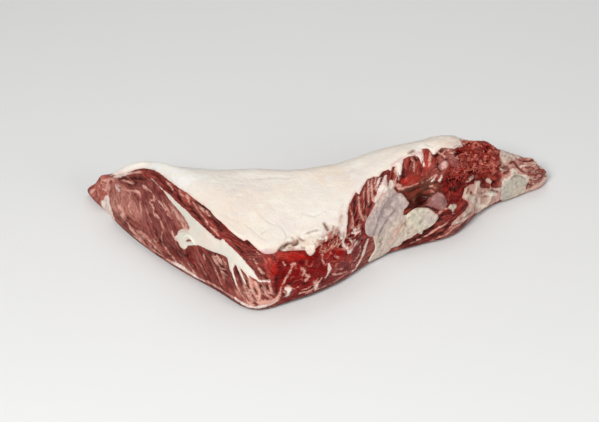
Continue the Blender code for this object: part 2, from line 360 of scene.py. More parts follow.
# Muscle by muscle: colour, how wet it is, how marbled it is, the lie of its grain in degrees, and
# the discs on the skin that it fills: x, v and radius
MUSCLES = {
    "nub": (tint(192, 108, 94), 0.35, 0.5, 70,
            [(-160, 0.5, 8), (-155, 1.0, 8), (-165, 0.5, 6), (-157, 1.8, 8)]),
    "heel": (tint(186, 122, 110), 0.15, 0.9, -60,
            [(-144, 0.45, 8), (-137, 0.4, 8), (-130, 0.42, 7), (-138, 0.15, 5)]),
    "fold": (tint(120, 58, 50), 0.2, 0.5, 5,
            [(-140, 0.86, 3), (-134, 0.84, 4), (-127, 0.82, 3)]),
    "eye": (tint(136, 70, 66), 0.15, 0.45, -50,
            [(-125, 0.62, 8), (-114, 0.5, 12), (-104, 0.4, 10), (-116, 0.3, 10)]),
    "eye edge": (tint(160, 88, 78), 0.2, 0.8, -52,
            [(-105, 0.62, 5), (-99, 0.55, 5), (-94, 0.52, 4)]),
    "eye rim": (tint(140, 72, 64), 0.2, 0.5, -18,
            [(-130, 0.1, 6), (-120, 0.08, 5), (-108, 0.06, 5), (-98, 0.05, 4)]),
    "eye end": (tint(118, 50, 44), 0.2, 0.35, -48,
            [(-97, 0.2, 6), (-80, 0.22, 8), (-70, 0.28, 9), (-64, 0.2, 7), (-78, 0.08, 5)]),
    "top strip": (tint(134, 50, 42), 0.35, 0.3, -8,
            [(-122, 0.97, 3), (-108, 0.9, 4), (-95, 0.93, 4), (-82, 0.95, 5), (-68, 0.92, 5),
             (-56, 0.92, 5), (-46, 0.85, 5), (-39, 0.75, 4)]),
    "point": (tint(146, 70, 62), 0.35, 0.9, -55,
            [(-52, 0.2, 6), (-43, 0.28, 5), (-36, 0.25, 5), (-33, 0.55, 3), (-35, 0.8, 3)]),
    "wet flank": (tint(122, 4, 3), 1.0, 0.0, -25,
            [(-25, 0.6, 8), (-26, 0.4, 5), (-14, 0.5, 12), (-2, 0.55, 12), (10, 0.8, 9)]),
    "wet foot": (tint(116, 12, 9), 0.8, 0.2, -12,
            [(-16, 0.05, 6), (0, 0.05, 7), (14, 0.25, 9), (25, 0.35, 6)]),
    "wet end": (tint(134, 20, 14), 0.8, 0.25, -35,
            [(8, 0.62, 3), (14, 0.5, 4), (20, 0.36, 4), (25, 0.15, 4)]),
    "ribs": (tint(128, 42, 35), 0.6, 0.3, 72,
            [(22, 1.15, 5), (30, 1.2, 7), (38, 1.3, 6), (50, 1.25, 6), (56, 1.15, 4)]),
    "block": (tint(156, 62, 53), 0.6, 0.35, 84,
            [(62, 1.2, 6), (68, 1.1, 6), (66, 1.35, 5), (76, 1.15, 6)]),
    "gap": (tint(104, 62, 46), 0.6, 0.0, 15,
            [(61, 0.74, 4), (70, 0.74, 5), (79, 0.7, 4), (64, 0.55, 4)]),
    "knuckle": (tint(140, 62, 53), 0.6, 0.6, 30,
            [(86, 1.2, 5), (93, 1.15, 6), (95, 0.95, 5), (84, 0.9, 4)]),
    "inner": (tint(124, 20, 15), 0.8, 0.1, 40,
            [(88, 0.75, 5), (96, 0.7, 6), (103, 0.62, 5), (94, 0.55, 5)]),
    "torn end": (tint(118, 22, 16), 0.7, 0.1, 70,
            [(104, 1.25, 7), (114, 1.3, 9), (124, 1.1, 9), (112, 0.95, 7), (124, 0.75, 6), (120, 1.8, 9)]),
    "apron": (tint(96, 14, 11), 0.6, 0.08, 10,
            [(46, -0.1, 5), (62, 0.0, 6), (78, 0.1, 6), (90, 0.15, 6), (100, 0.2, 5), (90, 0.3, 4)]),
    "tail": (tint(212, 168, 154), 0.3, 0.2, -10,
            [(138, 0.9, 6), (148, 1.0, 6), (158, 0.8, 7), (166, 0.6, 6), (136, 1.25, 5), (163, 0.25, 7),
             (155, 0.1, 6), (166, 1.3, 6)]),
    "back wall": (tint(142, 66, 57), 0.3, 0.6, 0,
            [(x, 2.8, 16) for x in range(-140, 160, 28)]),
    "under": (tint(140, 70, 60), 0.25, 0.6, 0,
            [(x, v, 20) for x in range(-130, 160, 30) for v in (4.25, 4.75)]),
    "tail top": (tint(196, 144, 131), 0.4, 0.2, 10,
            [(138, 1.8, 7), (150, 1.7, 7), (160, 1.6, 6)]),
}

# Fat that lies in the lean, pink and then white. All strokes here list x, v and half-width.
PINK_FAT = [
    [(-156, 1.1, 0.5), (-154, 0.98, 0.6), (-152.5, 0.9, 0.4)], [(-154, 1.3, 0.8), (-151, 1.18, 1.2)],
    [(-155.5, 0.8, 0.5), (-152.5, 0.76, 0.9)], [(-167, 0.5, 1.6), (-165, 0.68, 1.0), (-163.5, 0.8, 0.4)],
    [(-159, 1.0, 0.3), (-157, 0.85, 0.5), (-156.5, 0.7, 0.3)],
    [(-134, 0.98, 0.8), (-129, 0.965, 0.9), (-125, 0.95, 0.4)],
    [(-152, 1.1, 0.5), (-151.5, 0.9, 0.7), (-151, 0.7, 0.7), (-150.5, 0.6, 0.4)],
    [(-149.5, 1.2, 0.5), (-147.5, 0.98, 0.8), (-146, 0.86, 0.4)],
    [(-141, 0.91, 0.3), (-137, 0.86, 0.9), (-133.5, 0.82, 0.9), (-131, 0.79, 0.3)],
    [(-145, 0.86, 0.2), (-142, 0.78, 0.5), (-139, 0.72, 0.4), (-133.5, 0.69, 0.6), (-130, 0.68, 0.7),
     (-127, 0.66, 0.7), (-125.5, 0.6, 0.5), (-126, 0.5, 0.6), (-125.2, 0.44, 0.9), (-125.7, 0.38, 0.4)],
    [(-131.7, 0.53, 0.4), (-134, 0.48, 0.6), (-134.7, 0.4, 0.6), (-133, 0.34, 0.5), (-131.5, 0.32, 0.2)],
    [(-143, 0.36, 1.2), (-140, 0.33, 1.6), (-139.5, 0.25, 2.0), (-141.5, 0.22, 0.8)],
    [(-124.5, 0.77, 0.4), (-122, 0.74, 0.8), (-119, 0.72, 0.4), (-116.5, 0.69, 0.5), (-115, 0.63, 0.7),
     (-118, 0.6, 0.4)],
    [(-119, 0.58, 0.4), (-117, 0.55, 0.4), (-115.5, 0.5, 0.5), (-115.4, 0.46, 0.9), (-112.5, 0.45, 0.5),
     (-110, 0.42, 0.4), (-108.7, 0.38, 0.5), (-107.5, 0.35, 0.3)],
    [(-113.5, 0.66, 0.3), (-110, 0.63, 0.5), (-106.7, 0.6, 0.4), (-104, 0.56, 0.5), (-102, 0.55, 0.2)],
    [(-109, 0.68, 0.2), (-106, 0.63, 0.3), (-103, 0.6, 0.3)],
    [(-98, 0.62, 0.4), (-95.5, 0.6, 0.8), (-93, 0.56, 0.7)],
    [(-94, 0.56, 0.8), (-90, 0.54, 1.4), (-87, 0.53, 0.8)],
    [(-102, 0.43, 0.4), (-101, 0.36, 0.5), (-98.5, 0.31, 0.4)],
    [(-129, 0.45, 0.2), (-128, 0.38, 0.3), (-126, 0.32, 0.2)],
    [(-122, 0.5, 0.2), (-120, 0.4, 0.3), (-117, 0.33, 0.2)],
    [(-140, 0.5, 0.3), (-141, 0.38, 0.4), (-139, 0.28, 0.5), (-137, 0.2, 0.3)],
    [(-146, 0.5, 0.3), (-147, 0.38, 0.4), (-145, 0.25, 0.3)],
    [(-135.7, 0.18, 0.3), (-133.7, 0.1, 0.7), (-131, 0.08, 0.7), (-128.5, 0.05, 0.5), (-127.8, 0.03, 0.2)],
    [(-128.5, 0.12, 0.2), (-124.5, 0.11, 0.5), (-120.8, 0.1, 0.4), (-117, 0.09, 0.5), (-113, 0.06, 0.4),
     (-109.3, 0.04, 0.2)],
    [(-126, 0.14, 0.2), (-120.8, 0.13, 0.4), (-115, 0.12, 0.2)],
    [(-118, 0.16, 0.2), (-115, 0.14, 0.4), (-112.5, 0.11, 0.2)],
    [(-109, 0.3, 0.2), (-109.5, 0.2, 0.4), (-108, 0.15, 0.2)],
    [(-108, 0.17, 0.2), (-105.5, 0.13, 0.6), (-102.5, 0.1, 0.4), (-99.5, 0.08, 0.5), (-97.5, 0.03, 0.4),
     (-94.5, 0.03, 0.3)],
    [(-132, -0.02, 0.3), (-122, -0.02, 0.7), (-112, -0.01, 0.6), (-101, 0.0, 0.7)],
    [(-90, 0.13, 0.2), (-87, 0.08, 0.4), (-84, 0.05, 0.3)],
    [(-69, 0.49, 0.6), (-67, 0.46, 0.9), (-66, 0.42, 0.5)], [(-65, 0.5, 0.5), (-63.5, 0.46, 0.7)],
    [(-68, 0.36, 0.2), (-66, 0.27, 0.4), (-64, 0.18, 0.3)],
    [(-74, 0.4, 0.2), (-71, 0.3, 0.4), (-68, 0.18, 0.3), (-66, 0.12, 0.2)],
    [(-79, 0.38, 0.3), (-78, 0.33, 0.5)], [(-84, 0.3, 0.2), (-81, 0.2, 0.3), (-77, 0.12, 0.3)],
    [(-76, 0.02, 0.6), (-66, 0.02, 0.8), (-58, 0.03, 0.6)],
    [(-54, 0.44, 0.3), (-51.3, 0.33, 0.6), (-49.7, 0.25, 0.5), (-47.4, 0.17, 0.7), (-45.2, 0.1, 0.5)],
    [(-56, 0.24, 0.8), (-54.6, 0.2, 0.7), (-52, 0.14, 0.5), (-47, 0.06, 0.6), (-44.6, 0.03, 0.5)],
    [(-47.4, 0.46, 0.4), (-46.3, 0.36, 0.8), (-45.2, 0.26, 0.6), (-42.4, 0.17, 0.7), (-41.3, 0.09, 0.5)],
    [(-43.5, 0.44, 0.4), (-41.9, 0.35, 0.7), (-40.8, 0.26, 0.6), (-40.8, 0.14, 0.6)],
    [(-42, 0.1, 0.6), (-38, 0.09, 1.6), (-34.5, 0.07, 1.4)],
    [(-33.6, 0.44, 0.4), (-33.2, 0.34, 0.7), (-32.6, 0.26, 0.3)],
    [(-37, 0.3, 0.2), (-36, 0.22, 0.5), (-33, 0.16, 0.3)],
    [(-82, 0.91, 0.4), (-78, 0.87, 0.7), (-75.7, 0.83, 0.5)],
    [(-74, 0.82, 0.4), (-71, 0.81, 0.7), (-68, 0.79, 0.3)], [(-76.5, 1.0, 0.7), (-75, 0.96, 0.8)],
    [(-79, 0.99, 0.3), (-78, 0.95, 0.5)], [(-91, 0.99, 0.8), (-89.5, 0.95, 0.9), (-88.5, 0.9, 0.4)],
    [(-97, 0.97, 0.2), (-95, 0.94, 0.5), (-93, 0.93, 0.3)],
    [(-107, 0.95, 0.2), (-103, 0.94, 0.5), (-101, 0.92, 0.3)],
    [(-44, 0.79, 0.3), (-40.8, 0.67, 0.7), (-38, 0.6, 0.5)],
    [(-42, 0.93, 0.3), (-38, 0.88, 0.4), (-36, 0.8, 0.3)],
    [(-18.5, 0.77, 0.3), (-21, 0.62, 0.5), (-23.5, 0.48, 0.4), (-26, 0.36, 0.5), (-27, 0.22, 1.0),
     (-29, 0.1, 1.2), (-33, 0.06, 1.2)],
    [(-25, 0.84, 0.3), (-23.7, 0.78, 0.5)], [(-19.5, 0.78, 0.5), (-17, 0.8, 0.6)],
    [(-14, 0.7, 0.5), (-12.5, 0.67, 0.9), (-11, 0.62, 0.8), (-12, 0.57, 0.4)],
    [(-11.5, 0.58, 0.3), (-9.5, 0.52, 0.4), (-8, 0.47, 0.5), (-9.8, 0.4, 0.8)],
    [(1, 0.93, 0.2), (1.3, 0.8, 0.4), (2.5, 0.68, 0.4), (4.5, 0.62, 0.3)],
    [(1, 0.33, 0.3), (-0.5, 0.26, 0.6), (-8, 0.16, 0.4), (-12.5, 0.16, 0.3)],
    [(-2, 0.33, 0.4), (-3.5, 0.26, 0.4), (-5, 0.2, 0.3)],
    [(-25.5, 0.34, 0.3), (-21.5, 0.33, 0.4), (-17.5, 0.24, 0.4), (-15, 0.26, 0.2)],
    [(-14, 0.08, 0.3), (-8, 0.06, 0.4), (-4, 0.08, 0.3)], [(10, 0.73, 0.9), (12, 0.66, 0.5)],
    [(8, 0.3, 0.2), (12, 0.2, 0.5), (18, 0.1, 0.4)], [(12, 0.36, 0.3), (15, 0.28, 0.4)],
    [(24, 0.25, 0.5), (27, 0.33, 0.7), (28, 0.5, 0.4)],
    [(-10, 0.0, 0.3), (4, 0.0, 0.5), (16, 0.02, 0.4), (26, 0.02, 0.6)],
    [(20.5, 1.3, 0.2), (22, 1.15, 0.4), (22.5, 1.02, 0.3)],
    [(26.4, 1.33, 0.4), (26.8, 1.2, 0.7), (27.4, 1.1, 0.8), (28.6, 1.03, 0.8), (29.6, 0.96, 0.6)],
    [(33.8, 1.45, 0.4), (33.4, 1.3, 0.8), (33.2, 1.17, 0.7), (33.6, 1.1, 0.3)],
    [(36.3, 1.42, 0.4), (35.8, 1.3, 0.9), (35.9, 1.2, 0.9), (36.6, 1.1, 0.7)],
    [(31, 1.37, 0.2), (30, 1.25, 0.3), (30, 1.1, 0.3)],
    [(38.8, 1.4, 0.5), (38.6, 1.27, 0.6), (39, 1.18, 0.4)],
    [(52.5, 1.3, 0.3), (53, 1.18, 0.6), (52, 1.05, 0.5)],
    [(64.5, 1.35, 0.2), (66.5, 1.2, 0.4), (66, 1.05, 0.3)],
    [(78.5, 1.3, 0.5), (77.5, 1.15, 0.8), (77, 1.0, 0.5)],
    [(55, 0.93, 1.2), (57, 0.89, 1.0), (60, 0.86, 0.6), (65, 0.82, 0.4), (72.5, 0.79, 0.4), (77, 0.8, 0.6),
     (81.5, 0.83, 1.0)],
    [(52.5, 1.03, 0.8), (54.5, 1.0, 1.4), (56.5, 0.93, 0.8)],
    [(77, 0.71, 0.3), (79, 0.7, 0.4), (81, 0.67, 0.3)], [(78.5, 0.64, 0.5), (80.5, 0.62, 0.4)],
    [(92, 1.1, 0.6), (93.5, 1.2, 1.8), (95, 1.14, 0.5)], [(84, 1.3, 0.6), (87, 1.2, 0.8), (88, 1.12, 0.4)],
    [(93, 0.82, 0.4), (96, 0.86, 0.8), (99, 0.88, 0.5)],
    [(103.5, 0.92, 0.6), (104.5, 0.99, 1.6), (106, 0.93, 0.5)],
    [(83, 0.32, 0.5), (87, 0.37, 0.7), (92, 0.36, 0.4)], [(94, 0.34, 0.9), (94.4, 0.27, 0.5)],
    [(64, 0.0, 0.2), (70, 0.03, 0.3), (76, 0.07, 0.4), (82, 0.12, 0.4), (88, 0.16, 0.6), (92, 0.2, 0.3)],
    [(91, 0.07, 0.3), (94, 0.11, 0.4), (97, 0.15, 0.3), (99, 0.19, 0.2)],
    [(78, -0.35, 0.3), (84.5, -0.1, 0.4), (93, 0.05, 0.5), (100, 0.07, 0.7), (108, 0.05, 0.4)],
]
WHITE_FAT = [
    [(-151, 0.62, 0.5), (-151.6, 0.5, 1.8), (-153, 0.36, 4.0), (-152.4, 0.2, 4.6), (-149.8, 0.08, 3.2),
     (-147.2, -0.04, 1.6)],
    [(-156, 0.3, 1.6), (-156, 0.14, 3.2), (-152.5, -0.04, 3.2), (-148, -0.18, 2.2)],
    [(-146.5, 0.88, 0.5), (-144.5, 0.78, 0.8), (-142, 0.68, 0.5)],
    [(-147, 1.25, 1.2), (-143, 1.12, 1.7), (-139, 1.02, 1.4), (-134, 0.98, 0.8)],
    [(-101, 0.01, 0.8), (-96, 0.02, 1.4), (-90, 0.02, 1.1), (-84, 0.0, 0.8), (-78, 0.0, 0.6)],
    [(-57, 0.03, 0.6), (-52.5, 0.0, 1.3), (-49, -0.12, 1.4), (-44, -0.1, 1.3), (-39, -0.06, 1.3),
     (-33, 0.0, 1.2), (-29, 0.07, 0.9)],
    [(-40.4, 0.47, 0.5), (-37, 0.475, 0.9), (-34.3, 0.47, 0.6)],
    [(-23.4, 0.28, 0.8), (-21.5, 0.27, 1.6), (-19.4, 0.22, 0.6)], [(-21.6, 0.22, 1.2), (-22.4, 0.12, 0.9)],
    [(5.6, 0.62, 0.5), (6.2, 0.5, 1.2), (5, 0.38, 0.9), (3, 0.28, 0.5)],
    [(-1.5, 0.24, 0.6), (-3, 0.14, 1.6), (-3.6, 0.0, 1.0)],
    [(18, 0.74, 0.5), (20, 0.58, 0.9), (22.5, 0.62, 0.7), (25, 0.67, 0.5)],
    [(15.6, 0.9, 0.9), (16.6, 0.8, 0.6)], [(20, 0.86, 0.4), (22, 0.74, 0.6), (24, 0.72, 0.4)],
    [(21, 0.98, 0.4), (24, 0.86, 0.8), (27, 0.82, 0.5)], [(22, 1.02, 0.4), (24, 0.95, 0.7), (26, 0.9, 0.8)],
    [(33, 0.48, 0.8), (31.8, 0.4, 1.4), (30, 0.27, 1.5), (27, 0.1, 1.4), (22, -0.1, 1.0)],
    [(40, 1.25, 0.8), (41.5, 1.34, 0.7)], [(42, 1.1, 3.0), (44, 1.2, 2.2), (45.5, 1.3, 1.0)],
    [(38, 1.06, 1.2), (42, 1.08, 2.2), (48, 1.05, 2.6), (50, 1.15, 1.4)],
    [(54.3, 1.32, 1.2), (54.6, 1.2, 1.0), (55, 1.1, 0.6)],
    [(72.2, 1.34, 0.7), (72.6, 1.2, 0.8), (73.5, 1.06, 0.6)],
    [(84, 0.75, 0.6), (85.2, 0.79, 0.9), (86, 0.82, 0.5)],
    [(78, 0.77, 0.4), (79.5, 0.79, 0.8), (80.8, 0.81, 0.6)],
    [(104, 0.68, 0.7), (107, 0.72, 1.0), (109.5, 0.75, 0.8)], [(110.5, 1.2, 0.5), (113, 1.13, 0.7)],
    [(118, 1.16, 0.6), (120, 1.2, 0.5)], [(117, 1.35, 0.6), (118, 1.42, 0.5)],
]
# Webs of fat between the bundles: the places where they lie, as broad strokes
WEBS = [
    [(-52, 0.32, 5), (-44, 0.28, 6), (-36, 0.24, 5)], [(-46, 0.06, 3.5), (-36, 0.08, 3.5)],
    [(-72, 0.42, 2.5), (-66, 0.42, 4), (-64, 0.3, 3)], [(-98, 0.04, 1.5), (-84, 0.03, 1.5)],
    [(-140, 0.18, 3), (-130, 0.06, 2), (-116, 0.05, 1.6)], [(-148, 0.3, 2)],
    [(-90, 0.6, 2), (-98, 0.64, 2), (-104, 0.66, 2)], [(-152, 0.95, 3), (-151, 0.75, 3), (-156, 1.2, 2)],
    [(150, 1.6, 4), (158, 1.6, 4)], [(13, 0.95, 2), (18, 0.84, 4), (24, 0.8, 4.5), (26, 0.65, 3)],
    [(23, 1.02, 3), (30, 1.0, 2.5)], [(90, 1.25, 4), (86, 1.32, 3), (99, 1.15, 3)],
    [(-75, 0.98, 2), (-86, 0.95, 2)], [(-3, 0.22, 3)], [(-24, 0.22, 2.5), (-20, 0.2, 2)], [(94, 0.36, 2)],
    [(12, 1.0, 3), (16, 0.92, 3)],
]
# Painted shade in the creases: the dark gaps between muscles and the folds across them
SHADED_CREASES = [
    [(-162.6, 0.7, 0.3), (-161.5, 0.44, 0.6), (-159.5, 0.22, 0.4)], [(-142, 0.8, 0.7), (-141, 0.74, 0.6)],
    [(-137, 0.83, 0.5), (-133, 0.8, 1.0), (-129, 0.81, 0.8)],
    [(-143, 0.93, 0.5), (-136, 0.91, 0.9), (-128, 0.87, 0.8), (-122, 0.86, 0.3)],
    [(-114.5, 0.24, 0.3), (-111, 0.2, 0.8), (-109, 0.18, 0.3)],
    [(-98, 0.29, 0.5), (-95.5, 0.235, 0.8), (-92.5, 0.2, 0.8), (-89.5, 0.25, 0.7)],
    [(-88, 0.86, 0.3), (-84, 0.83, 0.5), (-79.5, 0.79, 0.6), (-75, 0.75, 0.6), (-72, 0.735, 0.6),
     (-67.5, 0.715, 0.4)],
    [(-105, 0.89, 0.5), (-102, 0.87, 0.5)], [(-98, 0.89, 0.6), (-95, 0.86, 0.7), (-92, 0.83, 0.5)],
    [(-84, 1.01, 0.6), (-78, 1.04, 0.9), (-73, 1.03, 1.0), (-68, 0.99, 0.9), (-63, 0.97, 0.6)],
    [(-73.5, 0.97, 1.2), (-69.5, 0.92, 1.4), (-66, 0.88, 1.0)],
    [(-60, 0.87, 0.4), (-55, 0.82, 0.8), (-51.5, 0.76, 0.8), (-47, 0.68, 0.6), (-44, 0.6, 0.4)],
    [(-28.4, 0.62, 0.3), (-29.2, 0.48, 0.9), (-29.3, 0.34, 0.8), (-28.8, 0.24, 0.4)],
    [(-49, 1.02, 0.7), (-47, 1.0, 0.8)], [(-54, 0.99, 0.6), (-51, 0.97, 0.5)],
    [(-45, 0.72, 0.4), (-41, 0.62, 0.6), (-37, 0.54, 0.7), (-34, 0.5, 0.4)],
    [(-43, 0.72, 0.2), (-39, 0.7, 0.5), (-36, 0.6, 0.4)],
    [(-56.5, 0.5, 0.6), (-54, 0.4, 0.9), (-51.5, 0.33, 0.5)],
    [(-39.5, 0.4, 0.5), (-38, 0.3, 0.9), (-36, 0.27, 0.5)], [(-35.5, 0.4, 0.5), (-35, 0.33, 0.5)],
    [(-44.3, 0.33, 0.3), (-43, 0.26, 0.5)], [(-49, 0.4, 0.4), (-48, 0.32, 0.5)], [(-5, 0.16, 0.9)],
    [(-12, 0.3, 0.3), (-6, 0.28, 0.5)], [(-22, 0.38, 0.4), (-17, 0.34, 0.4)],
    [(12, 1.0, 0.7), (13.4, 0.93, 0.9), (14, 0.85, 0.5)], [(0.5, 1.0, 0.5), (2, 0.96, 0.7)],
    [(20, 0.93, 0.5), (20.5, 0.86, 0.6)], [(28.5, 0.6, 0.7), (27, 0.66, 0.4)],
    [(33.5, 1.08, 1.5), (35.2, 1.07, 1.0)], [(28.5, 0.86, 0.8), (28.8, 0.8, 0.8)],
    [(24.5, 1.36, 0.5), (23.5, 1.2, 0.8), (24.5, 1.05, 0.7)],
    [(30.5, 1.36, 0.3), (31.5, 1.2, 0.6), (31, 1.05, 0.7)], [(19.3, 1.2, 0.6), (19.5, 1.08, 0.6)],
    [(40, 1.33, 0.5), (40.2, 1.2, 0.6)], [(58.5, 1.35, 0.7), (58.8, 1.2, 0.9), (59, 1.05, 1.1)],
    [(63.5, 1.34, 0.5), (64, 1.22, 0.7), (64, 1.12, 0.4)], [(68, 1.34, 0.4), (69, 1.24, 0.5)],
    [(62, 0.76, 0.4), (67, 0.75, 0.8), (72, 0.74, 0.4)],
    [(58.5, 0.8, 0.4), (60.5, 0.7, 0.8), (62, 0.62, 0.6)],
    [(64, 0.53, 1.2), (68, 0.54, 2.2), (73, 0.58, 2.6), (77, 0.55, 1.8), (72, 0.52, 1.6)],
    [(58.5, 0.56, 0.9), (62, 0.54, 1.2), (65, 0.6, 1.2)],
    [(74, 0.46, 0.5), (79, 0.42, 0.6), (84, 0.39, 0.8), (88, 0.43, 0.5)],
    [(83, 1.0, 0.8), (84, 0.94, 1.2), (86, 0.9, 0.6)], [(82, 1.2, 0.8), (85, 1.27, 0.9), (88, 1.33, 0.6)],
    [(88, 1.08, 0.4), (90, 1.13, 0.5)], [(96, 1.2, 0.8), (101, 1.22, 0.9), (104, 1.12, 0.9)],
    [(100, 1.05, 0.7), (100.5, 0.95, 0.9), (100, 0.86, 0.7)],
    [(90, 0.75, 1.0), (95, 0.76, 1.5), (100, 0.75, 1.4), (105, 0.8, 0.8)],
    [(94, 0.62, 1.2), (98, 0.6, 1.2), (101, 0.68, 1.0)],
    [(108, 1.0, 1.2), (110, 0.9, 1.4), (108, 0.83, 1.0)],
    [(117, 0.55, 1.0), (118.5, 0.62, 1.2), (117, 0.7, 0.8)], [(125, 0.53, 1.3), (127, 0.6, 1.4)],
    [(66, 0.05, 1.2), (72, 0.08, 1.4), (76, 0.13, 1.5), (80, 0.17, 1.0)],
    [(80, 0.02, 0.8), (86, 0.05, 1.1), (91, 0.12, 0.8)], [(84, 0.24, 1.4), (86, 0.28, 1.4)],
    [(92, 0.3, 0.9), (95, 0.24, 0.8)], [(98, 0.1, 0.9), (103, 0.15, 0.8), (108, 0.15, 0.5)],
    [(56, 0.02, 0.8), (62, 0.06, 1.0)],
    [(134, 1.0, 1.0), (137.5, 1.03, 1.4), (138.6, 0.92, 1.2), (135, 0.84, 1.0)],
]
# Pools of dark blood
BLOOD = [
    [(-90.5, 0.27, 1.5), (-88, 0.22, 2.6), (-85, 0.2, 1.6)], [(-135, 0.1, 0.5), (-132, 0.04, 0.8)],
    [(-26, 0.84, 1.2), (-28.3, 0.71, 2.0), (-29, 0.59, 2.6), (-29.5, 0.46, 2.4), (-29.3, 0.28, 1.6)],
    [(-19, 0.66, 1.6), (-16, 0.63, 1.8)],
    [(-10, 0.98, 1.5), (-4, 0.85, 3.5), (-1, 0.72, 4.0), (-3, 0.56, 3.0)],
    [(-26, 0.76, 1.5), (-22, 0.72, 1.2)], [(-31.5, 0.3, 0.5), (-30, 0.2, 0.8)],
    [(90, 0.7, 2.0), (93, 0.66, 2.0)],
]
# The dark lines and the white bands of the tail
TAIL_LINES = [
    [(139.5, 1.23, 0.8), (143, 1.33, 1.2), (146, 1.15, 1.2), (149, 0.99, 1.1), (151, 0.91, 0.6)],
    [(146.5, 1.52, 0.5), (150.5, 1.55, 0.9), (156, 1.67, 0.8), (160, 1.95, 0.5)],
    [(149, 1.36, 0.5), (151.5, 1.34, 0.5)],
    [(152, 1.18, 0.4), (155, 1.26, 0.8), (158, 1.15, 0.8), (161, 1.06, 0.9)],
    [(161, 1.01, 0.8), (163.5, 0.95, 1.0), (164.5, 0.7, 0.9), (163, 0.51, 0.6)],
    [(155.5, 0.8, 0.6), (157.5, 0.74, 0.5)], [(155.5, 0.57, 0.5), (158, 0.59, 0.5)],
    [(152.5, 0.29, 0.7), (154.5, 0.33, 0.8)], [(156, 0.38, 0.7), (157, 0.19, 1.0)],
    [(161.5, 1.46, 0.7), (163.5, 1.7, 0.6)], [(166.5, 1.29, 0.6), (167.5, 0.89, 0.8)],
    [(160, 0.75, 0.3), (161, 0.62, 0.5)],
]
TAIL_BANDS = [
    [(158, 1.5, 0.8), (160.5, 1.69, 1.2), (164.5, 1.6, 1.3), (167, 1.45, 1.0)],
    [(166.5, 0.64, 1.0), (168, 0.3, 1.4)], [(157.5, 0.36, 0.5), (159.5, 0.44, 0.8), (161.5, 0.53, 0.5)],
    [(162, 0.8, 0.6)], [(148, 1.17, 0.8), (152.5, 1.32, 0.8), (155.5, 1.12, 0.4)],
    [(134, 1.01, 1.0), (132.5, 0.95, 0.8)], [(156.5, 1.0, 0.7), (159.5, 0.92, 0.6)],
    [(153, 0.95, 0.8), (152.5, 0.8, 0.8)], [(160, 0.1, 1.0), (165, 0.1, 1.2)],
    [(148, -0.15, 2.0), (154, -0.1, 2.2), (160, 0.05, 2.0), (166, 0.25, 1.6), (169, 0.5, 1.2),
     (168, 1.2, 1.0)],
]
# Meat of a brighter red, and rosy meat
BRIGHT = [
    [(58.8, 1.02, 1.0), (59.6, 0.96, 1.6), (60.4, 0.91, 1.0)],
    [(-21, 0.96, 0.8), (-15, 0.95, 1.8), (-9, 0.9, 1.2)], [(-31, 0.78, 0.5), (-30.5, 0.6, 1.2)],
]
ROSY = [
    [(-27, 0.95, 1.6), (-22, 0.97, 2.2), (-14, 0.97, 2.0), (-9, 0.95, 1.0)],
    [(60.5, 0.97, 1.5), (63, 0.93, 2.6), (66, 0.89, 2.0), (70, 0.88, 1.2)],
    [(-34.5, 0.9, 1.6), (-34.2, 0.76, 2.2), (-33.5, 0.62, 2.4), (-32.3, 0.5, 1.4)],
    [(98, 0.32, 1.6), (101, 0.35, 1.8), (103, 0.4, 1.2)], [(4, 1.0, 0.8), (9, 0.98, 1.0)],
    [(93, 0.97, 2.2), (97, 0.96, 2.0)], [(75, 1.2, 1.4), (75.5, 1.05, 1.6)],
    [(132, 0.75, 1.5), (134, 0.8, 1.2)],
]

# Lumps and hollows: x, v, radius and height in millimetres
LUMPS = [
    (-157, 1.6, 6, 2.6), (-165, 1.6, 4, -2.2), (-121, 1.5, 12, -1.6), (88, 1.03, 5, 2.6),
    (85, 0.52, 5, 2.6), (64, 0.68, 6, -2.6), (73, 0.6, 7, -4.6), (96, 0.66, 8, -3.0), (-137, 0.85, 5, -0.9),
    (-126, 0.82, 5, -0.9), (120, 1.8, 10, 2.6), (111, 1.5, 8, 1.4), (104, 1.9, 5, -1.2), (157, 1.9, 6, 2.4),
    (-22, 0.2, 2.5, 1.2), (65, 0.92, 4, 1.6), (118, 0.56, 4, -1.6), (127, 0.56, 4, -1.6),
    (-14, 0.62, 6, 1.2), (-27, 0.55, 5, -1.2), (14, 0.88, 3, -1.2), (45, 1.15, 5, 1.2),
]

# Layers that lie on the lean, as outlines of x and v: silver skin, fat and film, then the glands
# and loose bits round the hollow
FLANK = [
    (51, 1.02), (54, 0.9), (57, 0.82), (59.5, 0.73), (61.5, 0.65), (63, 0.6), (61, 0.57), (59, 0.55),
    (58, 0.51), (58.8, 0.47), (60.3, 0.455), (62, 0.465), (64.5, 0.485), (68, 0.482), (71.5, 0.46),
    (76.5, 0.425), (79.6, 0.37), (82.8, 0.315), (83.4, 0.27), (81.5, 0.225), (78, 0.18), (75, 0.16),
    (72.6, 0.15), (71.8, 0.105), (68.8, 0.14), (64.5, 0.1), (58.5, 0.08), (57, 0.03), (54, 0.01), (51, 0.0),
    (49, -0.1), (47, -0.35), (40, -0.42), (34, -0.38), (33.6, -0.15), (34.6, 0.0), (36, 0.08), (38, 0.14),
    (38.4, 0.22), (37.6, 0.33), (36.8, 0.41), (34.4, 0.5), (32.4, 0.58), (31, 0.68), (30.5, 0.76),
    (30.6, 0.84), (31.6, 0.9), (33.5, 0.93), (35.3, 0.96), (37, 1.0), (39, 1.04), (41.5, 1.04),
    (43.5, 1.08), (45, 1.05), (48, 1.08), (49.5, 1.04),
]
